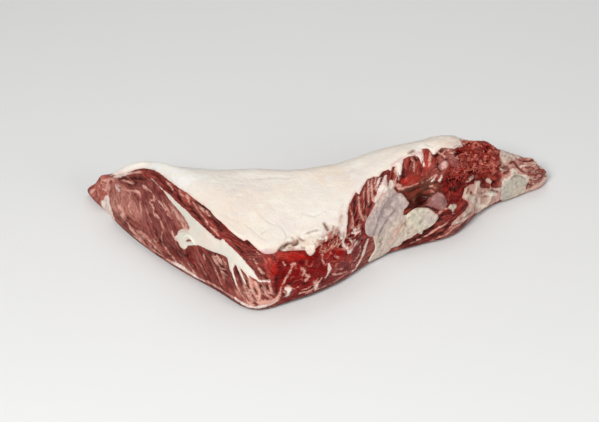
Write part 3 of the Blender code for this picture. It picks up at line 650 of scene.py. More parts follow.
BELLY_FAT = [
    (101.5, 0.45), (102, 0.52), (103, 0.58), (106.5, 0.62), (110, 0.62), (112, 0.66), (114.5, 0.67),
    (115.8, 0.63), (115, 0.55), (117, 0.49), (120.5, 0.465), (123.5, 0.45), (123, 0.53), (121.5, 0.6),
    (119.8, 0.66), (121, 0.7), (123.5, 0.68), (124.8, 0.61), (124.2, 0.53), (125.2, 0.44), (128, 0.42),
    (132.5, 0.42), (133.2, 0.28), (132, 0.05), (131, -0.2), (126, -0.35), (121, -0.35), (117, -0.3),
    (113, -0.12), (110, 0.0), (104, 0.05), (98, 0.09), (93, 0.12), (95.5, 0.17), (99, 0.2), (104, 0.22),
    (106.5, 0.28), (105.3, 0.35), (103.5, 0.4),
]
TAIL_FAT = [
    (132.5, 0.42), (133, 0.6), (135, 0.68), (137.5, 0.72), (139.5, 0.8), (140.5, 0.95), (141.3, 1.06),
    (142.5, 1.07), (144.5, 1.0), (146, 0.84), (150.5, 0.83), (154.5, 0.8), (155, 0.53), (152.8, 0.36),
    (152.5, 0.28), (152.5, 0.12), (151, -0.2), (145.5, -0.35), (139.5, -0.4), (134, -0.4), (131.5, 0.1),
    (131.5, 0.26),
]
TAIL_FILM = [
    (131.5, 2.1), (131.5, 1.5), (133.5, 1.3), (134, 1.16), (136.5, 1.18), (138, 1.3), (140, 1.38),
    (143, 1.4), (145, 1.55), (148.5, 1.6), (150, 2.1),
]
LOW_GLAND = [
    (74.8, 0.47), (77, 0.52), (79.5, 0.58), (82.5, 0.615), (85.8, 0.59), (88.2, 0.52), (90, 0.44),
    (89, 0.38), (86.5, 0.355), (83, 0.39), (80, 0.43), (77, 0.45),
]
TOP_GLAND = [(84, 0.97), (85.5, 1.03), (88, 1.05), (90.3, 1.01), (91, 0.95), (89.5, 0.89), (86, 0.9)]
RED_GLAND = [
    (91.6, 1.08), (94, 1.12), (97, 1.11), (99.6, 1.02), (100, 0.9), (97.5, 0.86), (93.5, 0.87),
    (91.3, 0.95),
]
SMALL_GLAND = [(89.5, 1.13), (90.5, 1.2), (93, 1.24), (95.5, 1.2), (96.3, 1.14), (92.5, 1.12)]
WHITE_BIT = [(90, 0.37), (92.2, 0.42), (94.5, 0.41), (96.8, 0.4), (97.3, 0.35), (94.3, 0.29), (93, 0.33)]
BLOCK_BIT = [
    (103.6, 0.68), (106, 0.71), (108, 0.75), (110.4, 0.77), (110.6, 0.73), (107.5, 0.68), (105, 0.66),
]
LAYERS = [
    FLANK, BELLY_FAT, TAIL_FAT, TAIL_FILM, LOW_GLAND, TOP_GLAND, RED_GLAND, SMALL_GLAND, WHITE_BIT,
    BLOCK_BIT,
]

# Rows of the grid: fine over the faces that show, coarse under the cap and below
X_STEPS = [(-166, -30, 0.95), (-30, 166, 0.64)]
V_ROWS = [
    (-0.6, 0.0, 14), (0.0, 1.0, 104), (1.0, 1.55, 42), (1.55, 2.0, 14), (2.0, 3.0, 20), (3.0, 4.0, 9),
    (4.0, 5.4, 12),
]


def tube(name, rings):
    """A closed skin through rings of points in millimetres, its two ends closed by fans."""
    count, round_ = rings.shape[:2]
    i, j = np.meshgrid(np.arange(count - 1), np.arange(round_), indexing="ij")
    a, b = i * round_ + j, i * round_ + (j + 1) % round_
    quads = np.stack([a, a + round_, b + round_, b], -1).reshape(-1, 4)
    j = np.arange(round_)
    ends = rings[[0, -1]].mean(axis=1)
    first = np.stack([j, (j + 1) % round_, np.full(round_, count * round_)], -1)
    last = np.stack([(count - 1) * round_ + (j + 1) % round_, (count - 1) * round_ + j,
                     np.full(round_, count * round_ + 1)], -1)
    points = np.concatenate([rings.reshape(-1, 3), ends])
    mesh = bpy.data.meshes.new(name)
    mesh.from_pydata((points * MM).tolist(), [], quads.tolist() + first.tolist() + last.tolist())
    mesh.shade_smooth()
    made = bpy.data.objects.new(name, mesh)
    bpy.context.scene.collection.objects.link(made)
    return made


def write(mesh, name, kind, values):
    """Stores one value for each vertex, repeating the mean for any vertex beyond the grid.

    A colour is given as red, green and blue, and its alpha is 1.
    """
    values = values.reshape(-1, 1 if kind == "FLOAT" else 3)
    if kind == "FLOAT_COLOR":
        values = np.concatenate([values, np.ones((len(values), 1))], axis=1)
    spare = len(mesh.vertices) - len(values)
    values = np.concatenate([values, np.repeat(values.mean(axis=0, keepdims=True), spare, axis=0)])
    mesh.attributes.new(name, kind, "POINT").data.foreach_set(
        {"FLOAT": "value", "FLOAT_VECTOR": "vector", "FLOAT_COLOR": "color"}[kind], values.ravel())


def swells(points):
    """The slow swells, lumps and hollows that the lean and the layers on it share, in millimetres.

    Each lump adds height * exp(-(distance / (0.75 radius))^2), and all fade near the table and the ends.
    """
    height = 0.6 * ragged(points, 26, 17)
    for x, v, radius, lump in LUMPS:
        height += lump * np.exp(-((points - spot(x, v))**2).sum(axis=2) / (radius * 0.75)**2)
    height *= 0.25 + 0.75 * ease(2.0, 6.0, points[..., 2])
    return height * (0.15 + 0.85 * ease(HALF, HALF - 12, np.abs(points[..., 0])))


turns = np.linspace(0.1, 1, 8) * np.pi / 2
tip = TIP_ROUND * (1 - np.cos(turns))
lean_x = np.concatenate([-HALF + tip[:-1]] + [np.arange(*run) for run in X_STEPS] + [(HALF - tip)[::-1]])
lean_x = np.unique(np.round(lean_x, 3))
lean_v = np.concatenate([np.linspace(low, high, count, endpoint=False) for low, high, count in V_ROWS])
lean_grid, lean_normal, lean_reach = surface(lean_x, lean_v)

FAR = 400.0
BORDER = 1.9

# Each point's share in every muscle falls off as exp(-distance from the discs / BORDER).
# The grain of a muscle is noise stretched along its lie, in millimetres along and round the skin.
sway = np.stack([ragged(lean_grid, 9, seed) for seed in (3, 5, 7)], -1) * 2.2
arc = np.cumsum(lean_reach * np.gradient(lean_v)[None, :], axis=1)
shares, grains, bundles = [], [], []
for *_, lie, discs in MUSCLES.values():
    near = np.full(lean_grid.shape[:2], FAR)
    for x, v, radius in discs:
        near = np.minimum(near, np.linalg.norm(lean_grid + sway - spot(x, v), axis=2) - radius)
    shares.append(np.exp(-near / BORDER))
    turned = math.radians(lie)
    along = lean_grid[..., 0] * math.cos(turned) + arc * math.sin(turned)
    across = -lean_grid[..., 0] * math.sin(turned) + arc * math.cos(turned)
    grains.append(np.stack([along, across, 0 * along + lie], -1) + sway * [0, 0.7, 0])
    bundles.append(noise(grains[-1] * [1 / 11, 1 / 1.7, 1], 1.0, 13)
                   + 0.6 * noise(grains[-1] * [1 / 6, 1 / 0.9, 1], 1.0, 14))
shares = np.array(shares)
shares /= shares.sum(axis=0)
owner = shares.argmax(axis=0)
muscle_names = list(MUSCLES)
rows, columns = np.indices(owner.shape)
grain = np.array(grains)[owner, rows, columns]
bundle = np.einsum("kij,kij->ij", shares, np.array(bundles)) / 1.6


def blended(values):
    """Per-muscle values mixed by each point's shares."""
    return np.einsum("kij,k...->ij...", shares, np.array(values))


def share(*names):
    """The part of each point that the named muscles have, from 0 to 1."""
    return sum(shares[muscle_names.index(name)] for name in names)


tone = blended([m[0] for m in MUSCLES.values()])
wetness = blended([m[1] for m in MUSCLES.values()])
marbling = blended([m[2] for m in MUSCLES.values()])
torn = share("torn end") + 0.5 * share("knuckle", "inner") + 0.3 * share("tail", "tail top")

# Fibre bundles darken and lighten the red, then blood, rosy meat and painted shade in the creases
# are laid over it
wobble = 0.5 * ragged(lean_grid, 2.2, 11) + 0.35 * ragged(lean_grid, 5, 12)
pale = over(tint(180, 36, 26) + 0 * tone, tint(212, 156, 140), marbling)
on_tail = share("tail", "tail top")
on_wet = share("wet flank", "wet foot", "wet end")
fibrous = 1 - 0.8 * on_tail - 0.6 * on_wet
tone = over(tone, tone * [0.5, 0.3, 0.28], ease(0.08, -0.5, bundle) * 0.85 * fibrous)
tone = over(tone, pale, ease(0.04, 0.6, bundle) * (0.4 + 0.3 * marbling)
            * (fibrous - 0.35 * share("apron", "wet foot")))
cloud = ragged(lean_grid, 4.5, 38) + 0.7 * ragged(lean_grid, 2, 39)
tone = coats(tone, (84, 2, 2, ease(0.0, 0.8, cloud) * on_wet * 0.65),
             (162, 20, 14, ease(0.0, 0.8, -cloud) * on_wet * 0.6))
tone = over(tone, tone * [0.55, 0.36, 0.34], ease(0.1, -0.8, ragged(lean_grid, 7, 15))
            * (0.5 - 0.3 * on_wet - 0.5 * on_tail))

# The tail's curls, bands and lines, then the fine threads of fat in the wet meat
curls = worms(lean_grid + 2.4 * ragged(lean_grid, 4, 25)[..., None], 7, 26)
lines, bands = (strokes(lean_grid, paths) + 0.8 * wobble for paths in (TAIL_LINES, TAIL_BANDS))
drawn = lean_grid + 1.6 * ragged(lean_grid, 3, 28)[..., None]
threads = ease(0.72, 1.0, worms(drawn, 3.4, 27)) * ease(-0.2, 0.4, ragged(lean_grid, 6, 35))
threads += ease(0.7, 1.0, worms(drawn, 2.4, 34)) * (
    0.5 * ease(0.0, 0.5, ragged(lean_grid, 6, 40)) + share("wet end"))
threads *= share("wet flank") + 1.8 * share("wet end") + 0.6 * share("wet foot") + 0.6 * share("inner")
rough = share("torn end") + 0.6 * share("inner")
rosy, blood, shaded_crease = (strokes(lean_grid, paths) + 1.3 * wobble for paths in (ROSY, BLOOD, SHADED_CREASES))
tone = coats(
    tone,
    (140, 66, 54, ease(0.7, 0.98, curls) * on_tail * 0.75),
    (236, 216, 202, ease(0.6, -0.5, bands) * 0.9),
    (98, 34, 24, ease(0.6, -0.5, lines) * 0.9),
    (206, 116, 98, np.minimum(threads, 1) * 0.7),
    (178, 76, 58, ease(0.0, 0.6, ragged(lean_grid, 9, 36)) * rough * 0.7),
    (72, 5, 4, ease(0.1, 0.6, ragged(lean_grid, 5, 37)) * rough * 0.8),
    (190, 62, 50, ease(2.6, -1.6, rosy + 1.4 * cloud) * 0.7),
    (106, 2, 2, ease(2.0, -1.6, blood + cloud) * 0.85),
    (176, 20, 13, ease(2.2, -1.4, strokes(lean_grid, BRIGHT) + 1.4 * cloud) * 0.8),
)

# Webs of fat, then painted shade in the creases, and painted shade close to the table
web = np.maximum(worms(grain * [1 / 8, 1 / 3.6, 1], 1, 21), 0.92 * worms(grain * [1 / 5, 1 / 2.5, 1], 1, 22))
web_share = ease(1.5, -1.5, strokes(lean_grid, WEBS) + 2 * wobble)
tone = over(tone, tone * [0.66, 0.5, 0.48], ease(0.5, 0.1, web) * web_share * 0.7)
# Painted shade: the creases are laid in near-black red.
tone = coats(tone, (222, 176, 160, ease(0.62, 0.95, web) * web_share * 0.85),
             (50, 8, 6, ease(0.8, -0.6, shaded_crease) * 0.85))
# Painted shade: the meat darkens towards the table, from 7 mm above it.
tone = over(tone, tone * [0.6, 0.45, 0.43], ease(7.0, 0.5, lean_grid[..., 2]) * 0.9)

pink_in = strokes(lean_grid, PINK_FAT) + wobble
white_in = strokes(lean_grid, WHITE_FAT) + wobble
vein = np.minimum(pink_in, white_in)
vein_tone = over(np.broadcast_to(tint(218, 166, 150), tone.shape), tint(240, 228, 217),
                 ease(0.4, -0.4, white_in - pink_in))

# The tail is mostly fat, so all of it takes the smooth finish of the fat, in its own tones
tail_tone = over(tone, vein_tone, ease(0.4, -0.4, vein))
vein_tone = over(vein_tone, tail_tone, ease(0.35, 0.65, on_tail))
vein = vein - (vein + 1.5) * ease(0.35, 0.65, on_tail)

# The relief: swells, grain, torn fibres and creases, sunk where a layer or the cap covers the lean
cap_in = patch(lean_grid, lean_x, lean_v, CAP_FRONT + CAP_BACK)
layer_in = np.max([patch(lean_grid, lean_x, lean_v, outline) for outline in LAYERS], axis=0)
strips = share("apron") + 0.4 * share("wet foot")
relief = 0.25 * ragged(lean_grid, 7, 19) + 0.32 * bundle * fibrous
relief -= 0.5 * on_tail * ease(0.6, 0.95, curls) + 0.9 * ease(0.8, -0.6, lines)
relief += torn * (1.8 * worms(lean_grid + sway, 5.5, 23) - 0.9 + 0.5 * ragged(lean_grid, 3, 29))
relief += 0.7 * strips * noise(grain * [1 / 16, 1 / 3.2, 1], 1.0, 31)
relief += 0.9 * share("ribs", "block") * noise(grain * [1 / 22, 1 / 3.0, 1], 1.0, 33)
relief += (0.25 * ease(0.5, -0.5, np.minimum(pink_in, white_in)) - 0.9 * ease(0.8, -0.8, shaded_crease)
           + 0.4 * web * web_share)
relief *= 1 - ease(-0.8, 1.0, layer_in)
relief += -0.8 * ease(-0.3, 1.4, layer_in) - 0.7 * ease(-3.5, -0.3, cap_in) - 2.2 * ease(-0.3, 2.0, cap_in)
relief *= ease(1.0, 6.0, lean_grid[..., 2]) * ease(HALF, HALF - 10, np.abs(lean_x))[:, None]
relief += swells(lean_grid)

lean_points = lean_grid + lean_normal * relief[..., None]
lean_points[..., 2] = np.maximum(lean_points[..., 2], 0)
lean_meat = tube("lean_meat", lean_points)
write(lean_meat.data, "tone", "FLOAT_COLOR", tone)
write(lean_meat.data, "vein_tone", "FLOAT_COLOR", vein_tone)
write(lean_meat.data, "grain", "FLOAT_VECTOR", grain * [1, 1, 0.2])
write(lean_meat.data, "vein", "FLOAT", vein)
write(lean_meat.data, "wet", "FLOAT", wetness)
write(lean_meat.data, "marbling", "FLOAT", marbling)


# Shading: short names for the nodes that the materials share, then raw beef. Its red is the painted
# tone, broken by threads and marbling that run along the grain.
BUMP_DISTANCE = 0.001
SUBSURFACE_SCALE = 0.002


def add(tree, kind, *values, settings=None, **inputs):
    """A node with its settings and its inputs: by place, or by name with _ for a space."""
    made = tree.nodes.new(kind)
    for key, value in (settings or {}).items():
        setattr(made, key, value)
    given = list(enumerate(values)) + [(key.replace("_", " "), value) for key, value in inputs.items()]
    for key, value in given:
        if isinstance(value, bpy.types.NodeSocket):
            tree.links.new(value, made.inputs[key])
        elif value is not None:
            made.inputs[key].default_value = value
    return made


def maths(tree, operation, *values):
    """One sum, product or other operation on its values."""
    return add(tree, "ShaderNodeMath", *values, settings={"operation": operation}).outputs[0]


def band(tree, value, low, high, to_low=0.0, to_high=1.0):
    """Value carried smoothly from low..high to to_low..to_high."""
    return add(tree, "ShaderNodeMapRange", value, low, high, to_low, to_high,
               settings={"interpolation_type": "SMOOTHSTEP"}).outputs[0]


def mix(tree, factor, first, second, kind="MIX"):
    """Two colours mixed."""
    made = tree.nodes.new("ShaderNodeMix")
    made.data_type = "RGBA"
    made.blend_type = kind
    for place, value in ((0, factor), (6, first), (7, second)):
        if isinstance(value, bpy.types.NodeSocket):
            tree.links.new(value, made.inputs[place])
        else:
            made.inputs[place].default_value = value if place == 0 else (*value, 1.0)
    return made.outputs[2]


def darken(tree, factor, colour, by):
    """A colour multiplied by another, by factor."""
    return mix(tree, factor, colour, mix(tree, 1.0, colour, by, "MULTIPLY"))


def weighted(tree, *parts):
    """The sum of values, each times its weight."""
    total, *rest = [maths(tree, "MULTIPLY", value, weight) for value, weight in parts]
    for part in rest:
        total = maths(tree, "ADD", total, part)
    return total


def settle(shader, **inputs):
    """Plain values for the shader's inputs, with _ for a space in a name."""
    for key, value in inputs.items():
        shader.inputs[key.replace("_", " ")].default_value = value


def attribute(tree, name, output):
    """A value stored on the mesh."""
    return add(tree, "ShaderNodeAttribute", settings={"attribute_name": name}).outputs[output]


def group(name, takes, gives):
    """An empty node group with named sockets, and its input and output nodes."""
    tree = bpy.data.node_groups.new(name, "ShaderNodeTree")
    for label, kind, default in takes:
        socket = tree.interface.new_socket(label, in_out="INPUT", socket_type=kind)
        if default is not None:
            socket.default_value = default
    for label, kind in gives:
        tree.interface.new_socket(label, in_out="OUTPUT", socket_type=kind)
    return tree, tree.nodes.new("NodeGroupInput"), tree.nodes.new("NodeGroupOutput")


def use(tree, made, **inputs):
    """A node group placed in a material with its own values."""
    placed = tree.nodes.new("ShaderNodeGroup")
    placed.node_tree = made
    for key, value in inputs.items():
        socket = placed.inputs[key.replace("_", " ")]
        if isinstance(value, bpy.types.NodeSocket):
            tree.links.new(value, socket)
        else:
            socket.default_value = value
    return placed


# Threads: the finest fibres, noise stretched along the grain
threads_group, took, gave = group("threads", [("Grain", "NodeSocketVector", None)],
                                  [("Threads", "NodeSocketFloat")])
stretched = add(threads_group, "ShaderNodeVectorMath", took.outputs["Grain"], (0.22, 1.25, 1.0),
                settings={"operation": "MULTIPLY"}).outputs[0]
threads_group.links.new(
    add(threads_group, "ShaderNodeTexNoise", Vector=stretched, Scale=1.0, Detail=2.0, Distortion=0.5)
    .outputs[0], gave.inputs["Threads"])

# Marbling: thin lines where a warped noise along the grain crosses its middle, and small flecks
marbling_group, took, gave = group(
    "marbling", [("Grain", "NodeSocketVector", None), ("Amount", "NodeSocketFloat", 0.5)],
    [("Fat", "NodeSocketFloat")])
warped = add(marbling_group, "ShaderNodeVectorMath", took.outputs["Grain"], (0.05, 0.28, 1.0),
             settings={"operation": "MULTIPLY"}).outputs[0]
winding = add(marbling_group, "ShaderNodeTexNoise", Vector=warped, Scale=1.0, Detail=3.0, Roughness=0.55,
              Distortion=0.5).outputs[0]
ridge = maths(marbling_group, "ABSOLUTE", maths(marbling_group, "SUBTRACT", winding, 0.5))
line = band(marbling_group, ridge, 0.003, 0.026, 1.0, 0.0)
breaks = band(marbling_group, add(marbling_group, "ShaderNodeTexNoise", Vector=took.outputs["Grain"],
                                  Scale=0.13, Detail=1.0).outputs[0], 0.48, 0.6)
flecks = band(marbling_group, add(marbling_group, "ShaderNodeTexNoise", Vector=warped, Scale=3.1,
                                  Detail=2.0).outputs[0], 0.6, 0.7)
both = maths(marbling_group, "MAXIMUM", maths(marbling_group, "MULTIPLY", line, breaks),
             maths(marbling_group, "MULTIPLY", flecks, 0.8))
marbling_group.links.new(maths(marbling_group, "MULTIPLY", both, took.outputs["Amount"]), gave.inputs["Fat"])


def raw_meat(name):
    """Raw beef: the painted red, threads and marbling along the grain, veins of fat, a wet shine."""
    made = bpy.data.materials.new(name)
    made.use_nodes = True
    tree = made.node_tree
    shader = tree.nodes["Principled BSDF"]
    grain_in = attribute(tree, "grain", "Vector")
    threads = use(tree, threads_group, Grain=grain_in).outputs["Threads"]
    marbled = use(tree, marbling_group, Grain=grain_in, Amount=attribute(tree, "marbling", "Fac"))
    place = add(tree, "ShaderNodeTexCoord").outputs["Object"]
    mottle = add(tree, "ShaderNodeTexNoise", Vector=place, Scale=170.0, Detail=4.0, Roughness=0.6).outputs[0]
    speck = add(tree, "ShaderNodeTexNoise", Vector=place, Scale=900.0, Detail=2.0).outputs[0]
    red = attribute(tree, "tone", "Color")
    red = darken(tree, band(tree, threads, 0.3, 0.5, 0.75, 0.0), red, (0.45, 0.26, 0.24))
    pale = mix(tree, attribute(tree, "marbling", "Fac"), tint(186, 40, 28), tint(216, 158, 142))
    red = mix(tree, band(tree, threads, 0.54, 0.7, 0.0, 0.4), red, pale)
    red = darken(tree, band(tree, mottle, 0.36, 0.56, 0.5, 0.0), red, (0.5, 0.3, 0.28))
    vein_in = maths(tree, "ADD", attribute(tree, "vein", "Fac"), band(tree, speck, 0.3, 0.7, -0.3, 0.3))
    vein_in = maths(tree, "ADD", vein_in, band(tree, threads, 0.3, 0.7, -0.45, 0.45))
    vein_mask = band(tree, vein_in, -0.6, 0.6, 0.9, 0.0)
    fat_mask = maths(tree, "MAXIMUM", vein_mask, marbled.outputs["Fat"])
    red = mix(tree, maths(tree, "MULTIPLY", marbled.outputs["Fat"], 0.75), red, tint(206, 150, 134))
    pale = mix(tree, band(tree, mottle, 0.42, 0.6, 0.35, 0.0), attribute(tree, "vein_tone", "Color"),
               tint(190, 120, 104))
    tree.links.new(mix(tree, vein_mask, red, pale), shader.inputs["Base Color"])
    wet_in = attribute(tree, "wet", "Fac")
    damp = maths(tree, "ADD", wet_in, maths(tree, "MULTIPLY", mottle, 0.5))
    tree.links.new(band(tree, damp, 0.2, 1.2, 0.5, 0.22), shader.inputs["Roughness"])
    tree.links.new(maths(tree, "MULTIPLY", band(tree, wet_in, 0.1, 1.0, 0.02, 0.13),
                         band(tree, mottle, 0.46, 0.62, 0.2, 1.0)), shader.inputs["Coat Weight"])
    settle(shader, Coat_Roughness=0.1, Coat_IOR=1.35, Specular_IOR_Level=0.1, Subsurface_Weight=0.1,
           Subsurface_Radius=(1.0, 0.2, 0.12), Subsurface_Scale=SUBSURFACE_SCALE)
    height = weighted(tree, (threads, 0.8), (mottle, 1.0), (fat_mask, 0.3), (speck, 0.2))
    bump = add(tree, "ShaderNodeBump", Strength=0.8, Distance=BUMP_DISTANCE, Height=height)
    tree.links.new(bump.outputs[0], shader.inputs["Normal"])
    return made


beef = raw_meat("raw beef")
lean_meat.data.materials.append(beef)
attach(lean_meat, "root")
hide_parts("lean")


# The fat cap: a layer of firm beef fat over the top of the muscle, with a rounded, slightly torn
# lip. It is a shell a few millimetres thick whose upper face dives under the meat round its edge.
CAP_THICKNESS = 4.5
CAP_LIP = 2.6
CAP_DROP = 1.7
CAP_FLOOR = 0.4
# Cracks and tears near the front lip, and faint creases above: x, v, half-width
CRACKS = [
    [(-27.4, 1.035, 0.5), (-25, 1.07, 0.8), (-23.5, 1.09, 0.6), (-21, 1.11, 0.3), (-18.5, 1.11, 0.1)],
    [(-18.5, 1.09, 0.1), (-16.5, 1.1, 0.4), (-15.5, 1.11, 0.4), (-15.5, 1.13, 0.1)],
    [(2.5, 1.26, 0.1), (4, 1.21, 0.35), (5, 1.18, 0.1)],
    [(12, 1.14, 0.1), (12.6, 1.11, 0.3), (13, 1.09, 0.3)], [(9.5, 1.11, 0.1), (10, 1.09, 0.4)],
    [(63, 1.47, 0.3), (64.5, 1.48, 0.7), (66, 1.49, 0.3)], [(12, 1.1, 0.3), (11, 1.13, 0.2)],
]
# Tan lines in the crumbled fat, and blood that has soaked into the lip
TAN = [
    [(-15, 1.16, 0.3), (-13, 1.14, 0.5), (-10.5, 1.13, 0.3)],
    [(-8.5, 1.2, 0.2), (-5.5, 1.21, 0.4), (-2, 1.21, 0.2)],
    [(-19, 1.16, 0.2), (-17.5, 1.12, 0.4), (-19.5, 1.1, 0.3)], [(-13, 1.07, 0.3), (-11, 1.06, 0.5)],
    [(-2, 1.12, 0.2), (0, 1.09, 0.7), (3, 1.1, 0.4)], [(-3.5, 1.08, 0.3), (-2, 1.05, 0.7)],
    [(6, 1.13, 0.4), (8, 1.15, 0.5), (9, 1.19, 0.3)], [(-21, 1.07, 0.3), (-18, 1.06, 0.4)],
    [(15.5, 1.0, 0.4), (16, 1.06, 0.4)], [(13, 1.2, 0.2), (14.5, 1.26, 0.3)],
]
SOAKED = [
    [(-38, 0.97, 2.0), (-35, 0.98, 3.0), (-31, 1.01, 2.8), (-28.5, 1.03, 1.4)],
    [(58, 1.46, 0.8), (62, 1.41, 1.2), (68, 1.4, 1.2), (72, 1.36, 0.6)], [(52, 1.42, 0.6), (56, 1.44, 0.8)],
    [(90, 1.45, 1.0), (98, 1.5, 1.2), (104, 1.62, 1.0)],
]
FAINT = [
    [(-26.5, 1.28, 0.1), (-24.5, 1.24, 0.3), (-23.3, 1.2, 0.3), (-23, 1.16, 0.1)],
    [(-39.5, 1.16, 0.1), (-37.5, 1.19, 0.3), (-36, 1.21, 0.1)], [(2.5, 1.15, 0.2), (1, 1.12, 0.2)],
    [(0.5, 1.29, 0.1), (5, 1.22, 0.3)], [(-22, 1.13, 0.2), (-18.5, 1.12, 0.3), (-17, 1.1, 0.3)],
    [(-29, 1.3, 0.1), (-24, 1.22, 0.3), (-22.6, 1.17, 0.2), (-24, 1.12, 0.1)],
    [(-10, 1.2, 0.3), (-4, 1.215, 0.4), (0, 1.2, 0.2)], [(1, 1.1, 0.1), (1.6, 1.15, 0.3), (3, 1.2, 0.1)],
    [(-48, 1.78, 0.1), (-38, 1.82, 0.3), (-28, 1.84, 0.3), (-16, 1.83, 0.1)],
    [(-40, 1.35, 0.1), (-35, 1.3, 0.3), (-30, 1.28, 0.1)],
    [(-50, 1.2, 0.1), (-42, 1.14, 0.3), (-36, 1.1, 0.1)],
    [(-12, 1.4, 0.1), (-4, 1.36, 0.3), (4, 1.38, 0.1)], [(74, 1.6, 0.2), (77, 1.5, 0.5), (80, 1.42, 0.4)],
    [(88, 1.42, 0.3), (94, 1.41, 0.6), (99, 1.46, 0.3)],
]
# Broad hollows and a rise of the cap: x, v, radius and height in millimetres
CAP_LUMPS = [(-118, 1.6, 16, -1.2), (-100, 1.9, 14, -0.8), (88, 2.0, 14, 1.2), (15, 1.9, 12, -0.8)]


def shell(name, top, floor, keep):
    """A closed shell over the kept cells of a grid: top, floor, and walls round the border, in mm."""
    rows, columns = top.shape[:2]
    ring = ((0, 0), (1, 0), (1, 1), (0, 1))
    used = np.zeros((rows, columns), dtype=bool)
    for di, dj in ring:
        used[di:rows - 1 + di, dj:columns - 1 + dj] |= keep
    number = np.full((rows, columns), -1)
    number[used] = np.arange(used.sum())
    i, j = np.nonzero(keep)
    upper = np.stack([number[i + di, j + dj] for di, dj in ring], -1)
    faces = [upper, upper[:, ::-1] + used.sum()]
    padded = np.pad(keep, 1)
    for (di, dj), a, b in (((0, -1), 0, 1), ((1, 0), 1, 2), ((0, 1), 2, 3), ((-1, 0), 3, 0)):
        open_side = ~padded[1 + i + di, 1 + j + dj]
        start, end = upper[open_side, a], upper[open_side, b]
        faces.append(np.stack([end, start, start + used.sum(), end + used.sum()], -1))
    mesh = bpy.data.meshes.new(name)
    points = np.concatenate([top[used], floor[used]]) * MM
    mesh.from_pydata(points.tolist(), [], np.concatenate(faces).tolist())
    mesh.shade_smooth()
    made = bpy.data.objects.new(name, mesh)
    bpy.context.scene.collection.objects.link(made)
    return made, used


def whole(used, field):
    """A field of the grid as values for a shell's vertices: those of its top, then of its floor."""
    return np.concatenate([field[used], field[used]])


def cells(field):
    """The grid's cells whose four corners average above zero, without the corner-to-corner ones."""
    keep = (field[:-1, :-1] + field[1:, :-1] + field[1:, 1:] + field[:-1, 1:]) > 0
    crossed = keep[:-1, :-1] & keep[1:, 1:] & ~keep[1:, :-1] & ~keep[:-1, 1:]
    other = ~keep[:-1, :-1] & ~keep[1:, 1:] & keep[1:, :-1] & keep[:-1, 1:]
    keep[:-1, :-1] &= ~crossed
    keep[1:, :-1] &= ~other
    return keep


cap_x = np.concatenate([np.arange(-152, -40, 0.95), np.arange(-40, 18, 0.6), np.arange(18, 111, 0.7)])
cap_v = np.concatenate([np.linspace(0.86, 1.55, 80, endpoint=False),
                        np.linspace(1.55, 2.0, 30, endpoint=False), np.linspace(2.0, 2.62, 24)])
cap_grid, cap_normal, _ = surface(cap_x, cap_v)
cap_along = cap_grid[..., 0]
cap_cut = patch(cap_grid, cap_x, cap_v, CAP_FRONT + CAP_BACK) + 0.45 * ragged(cap_grid, 3.5, 41)
cap_cut += 0.8 * ragged(cap_grid, 2.4, 42) * ease(-12, -2, cap_along) * ease(30, 16, cap_along)
lip = np.where(cap_cut > 0, CAP_DROP * (np.sqrt(1 - (1 - np.clip(cap_cut / CAP_LIP, 0, 1))**2) - 1),
               -CAP_DROP + 1.4 * cap_cut)
swell = swells(cap_grid) + 0.16 * ragged(cap_grid, 7, 45) + 0.2
crumpled = np.exp(-((cap_along + 6) / 26)**2) * ease(1.35, 1.05, cap_v)[None, :]
crumpled += 0.6 * ease(70, 84, cap_along)
swell += crumpled * 0.8 * ragged(cap_grid, 4, 47)
cracks = strokes(cap_grid, CRACKS) + 0.2 * ragged(cap_grid, 2, 49)
shaded_faint_crease = strokes(cap_grid, FAINT) + 0.2 * ragged(cap_grid, 2, 50)
swell -= 1.5 * ease(0.7, -0.5, cracks) + 0.45 * ease(0.8, -0.3, shaded_faint_crease)
for x, v, radius, height in CAP_LUMPS:
    swell += height * np.exp(-((cap_grid - spot(x, v))**2).sum(axis=2) / radius**2)
cap_rise = lip + swell
fat_cap, used = shell("fat_cap_layer", cap_grid + cap_normal * cap_rise[..., None],
                      cap_grid - cap_normal * (CAP_THICKNESS + CAP_FLOOR), cells(cap_cut + 1.2))

# Painted cream, with pink at the lip, grey painted shade in the faint creases, and dark brown in the
# cracks that is partly their tissue and partly painted shade. The crumbled lip has winding tan lines,
# the right end is mottled, and a red fringe shows between the two.
crumble = worms(cap_grid + 1.2 * ragged(cap_grid, 2, 46)[..., None], 5, 56)
crumbly = crumpled * ease(0.0, 0.6, ragged(cap_grid, 8, 57) + 0.5 * ragged(cap_grid, 3, 58))
tan = strokes(cap_grid, TAN) + 0.5 * ragged(cap_grid, 2, 48)
soaked = strokes(cap_grid, SOAKED) + 1.6 * ragged(cap_grid, 3, 59)
end_in = ease(80, 94, cap_along)
fringe = ease(8.0, 1.0, cap_cut) * ease(-8, 4, cap_along) * ease(18, 12, cap_along)
fringe += 0.6 * ease(2.4, 0.2, cap_cut) * ease(-32, -26, cap_along) * ease(-4, -10, cap_along)
fringe *= ease(-0.6, 0.15, noise(cap_grid * [1.6, 1, 1], 2.0, 44) + 0.5 * ragged(cap_grid, 3, 60))
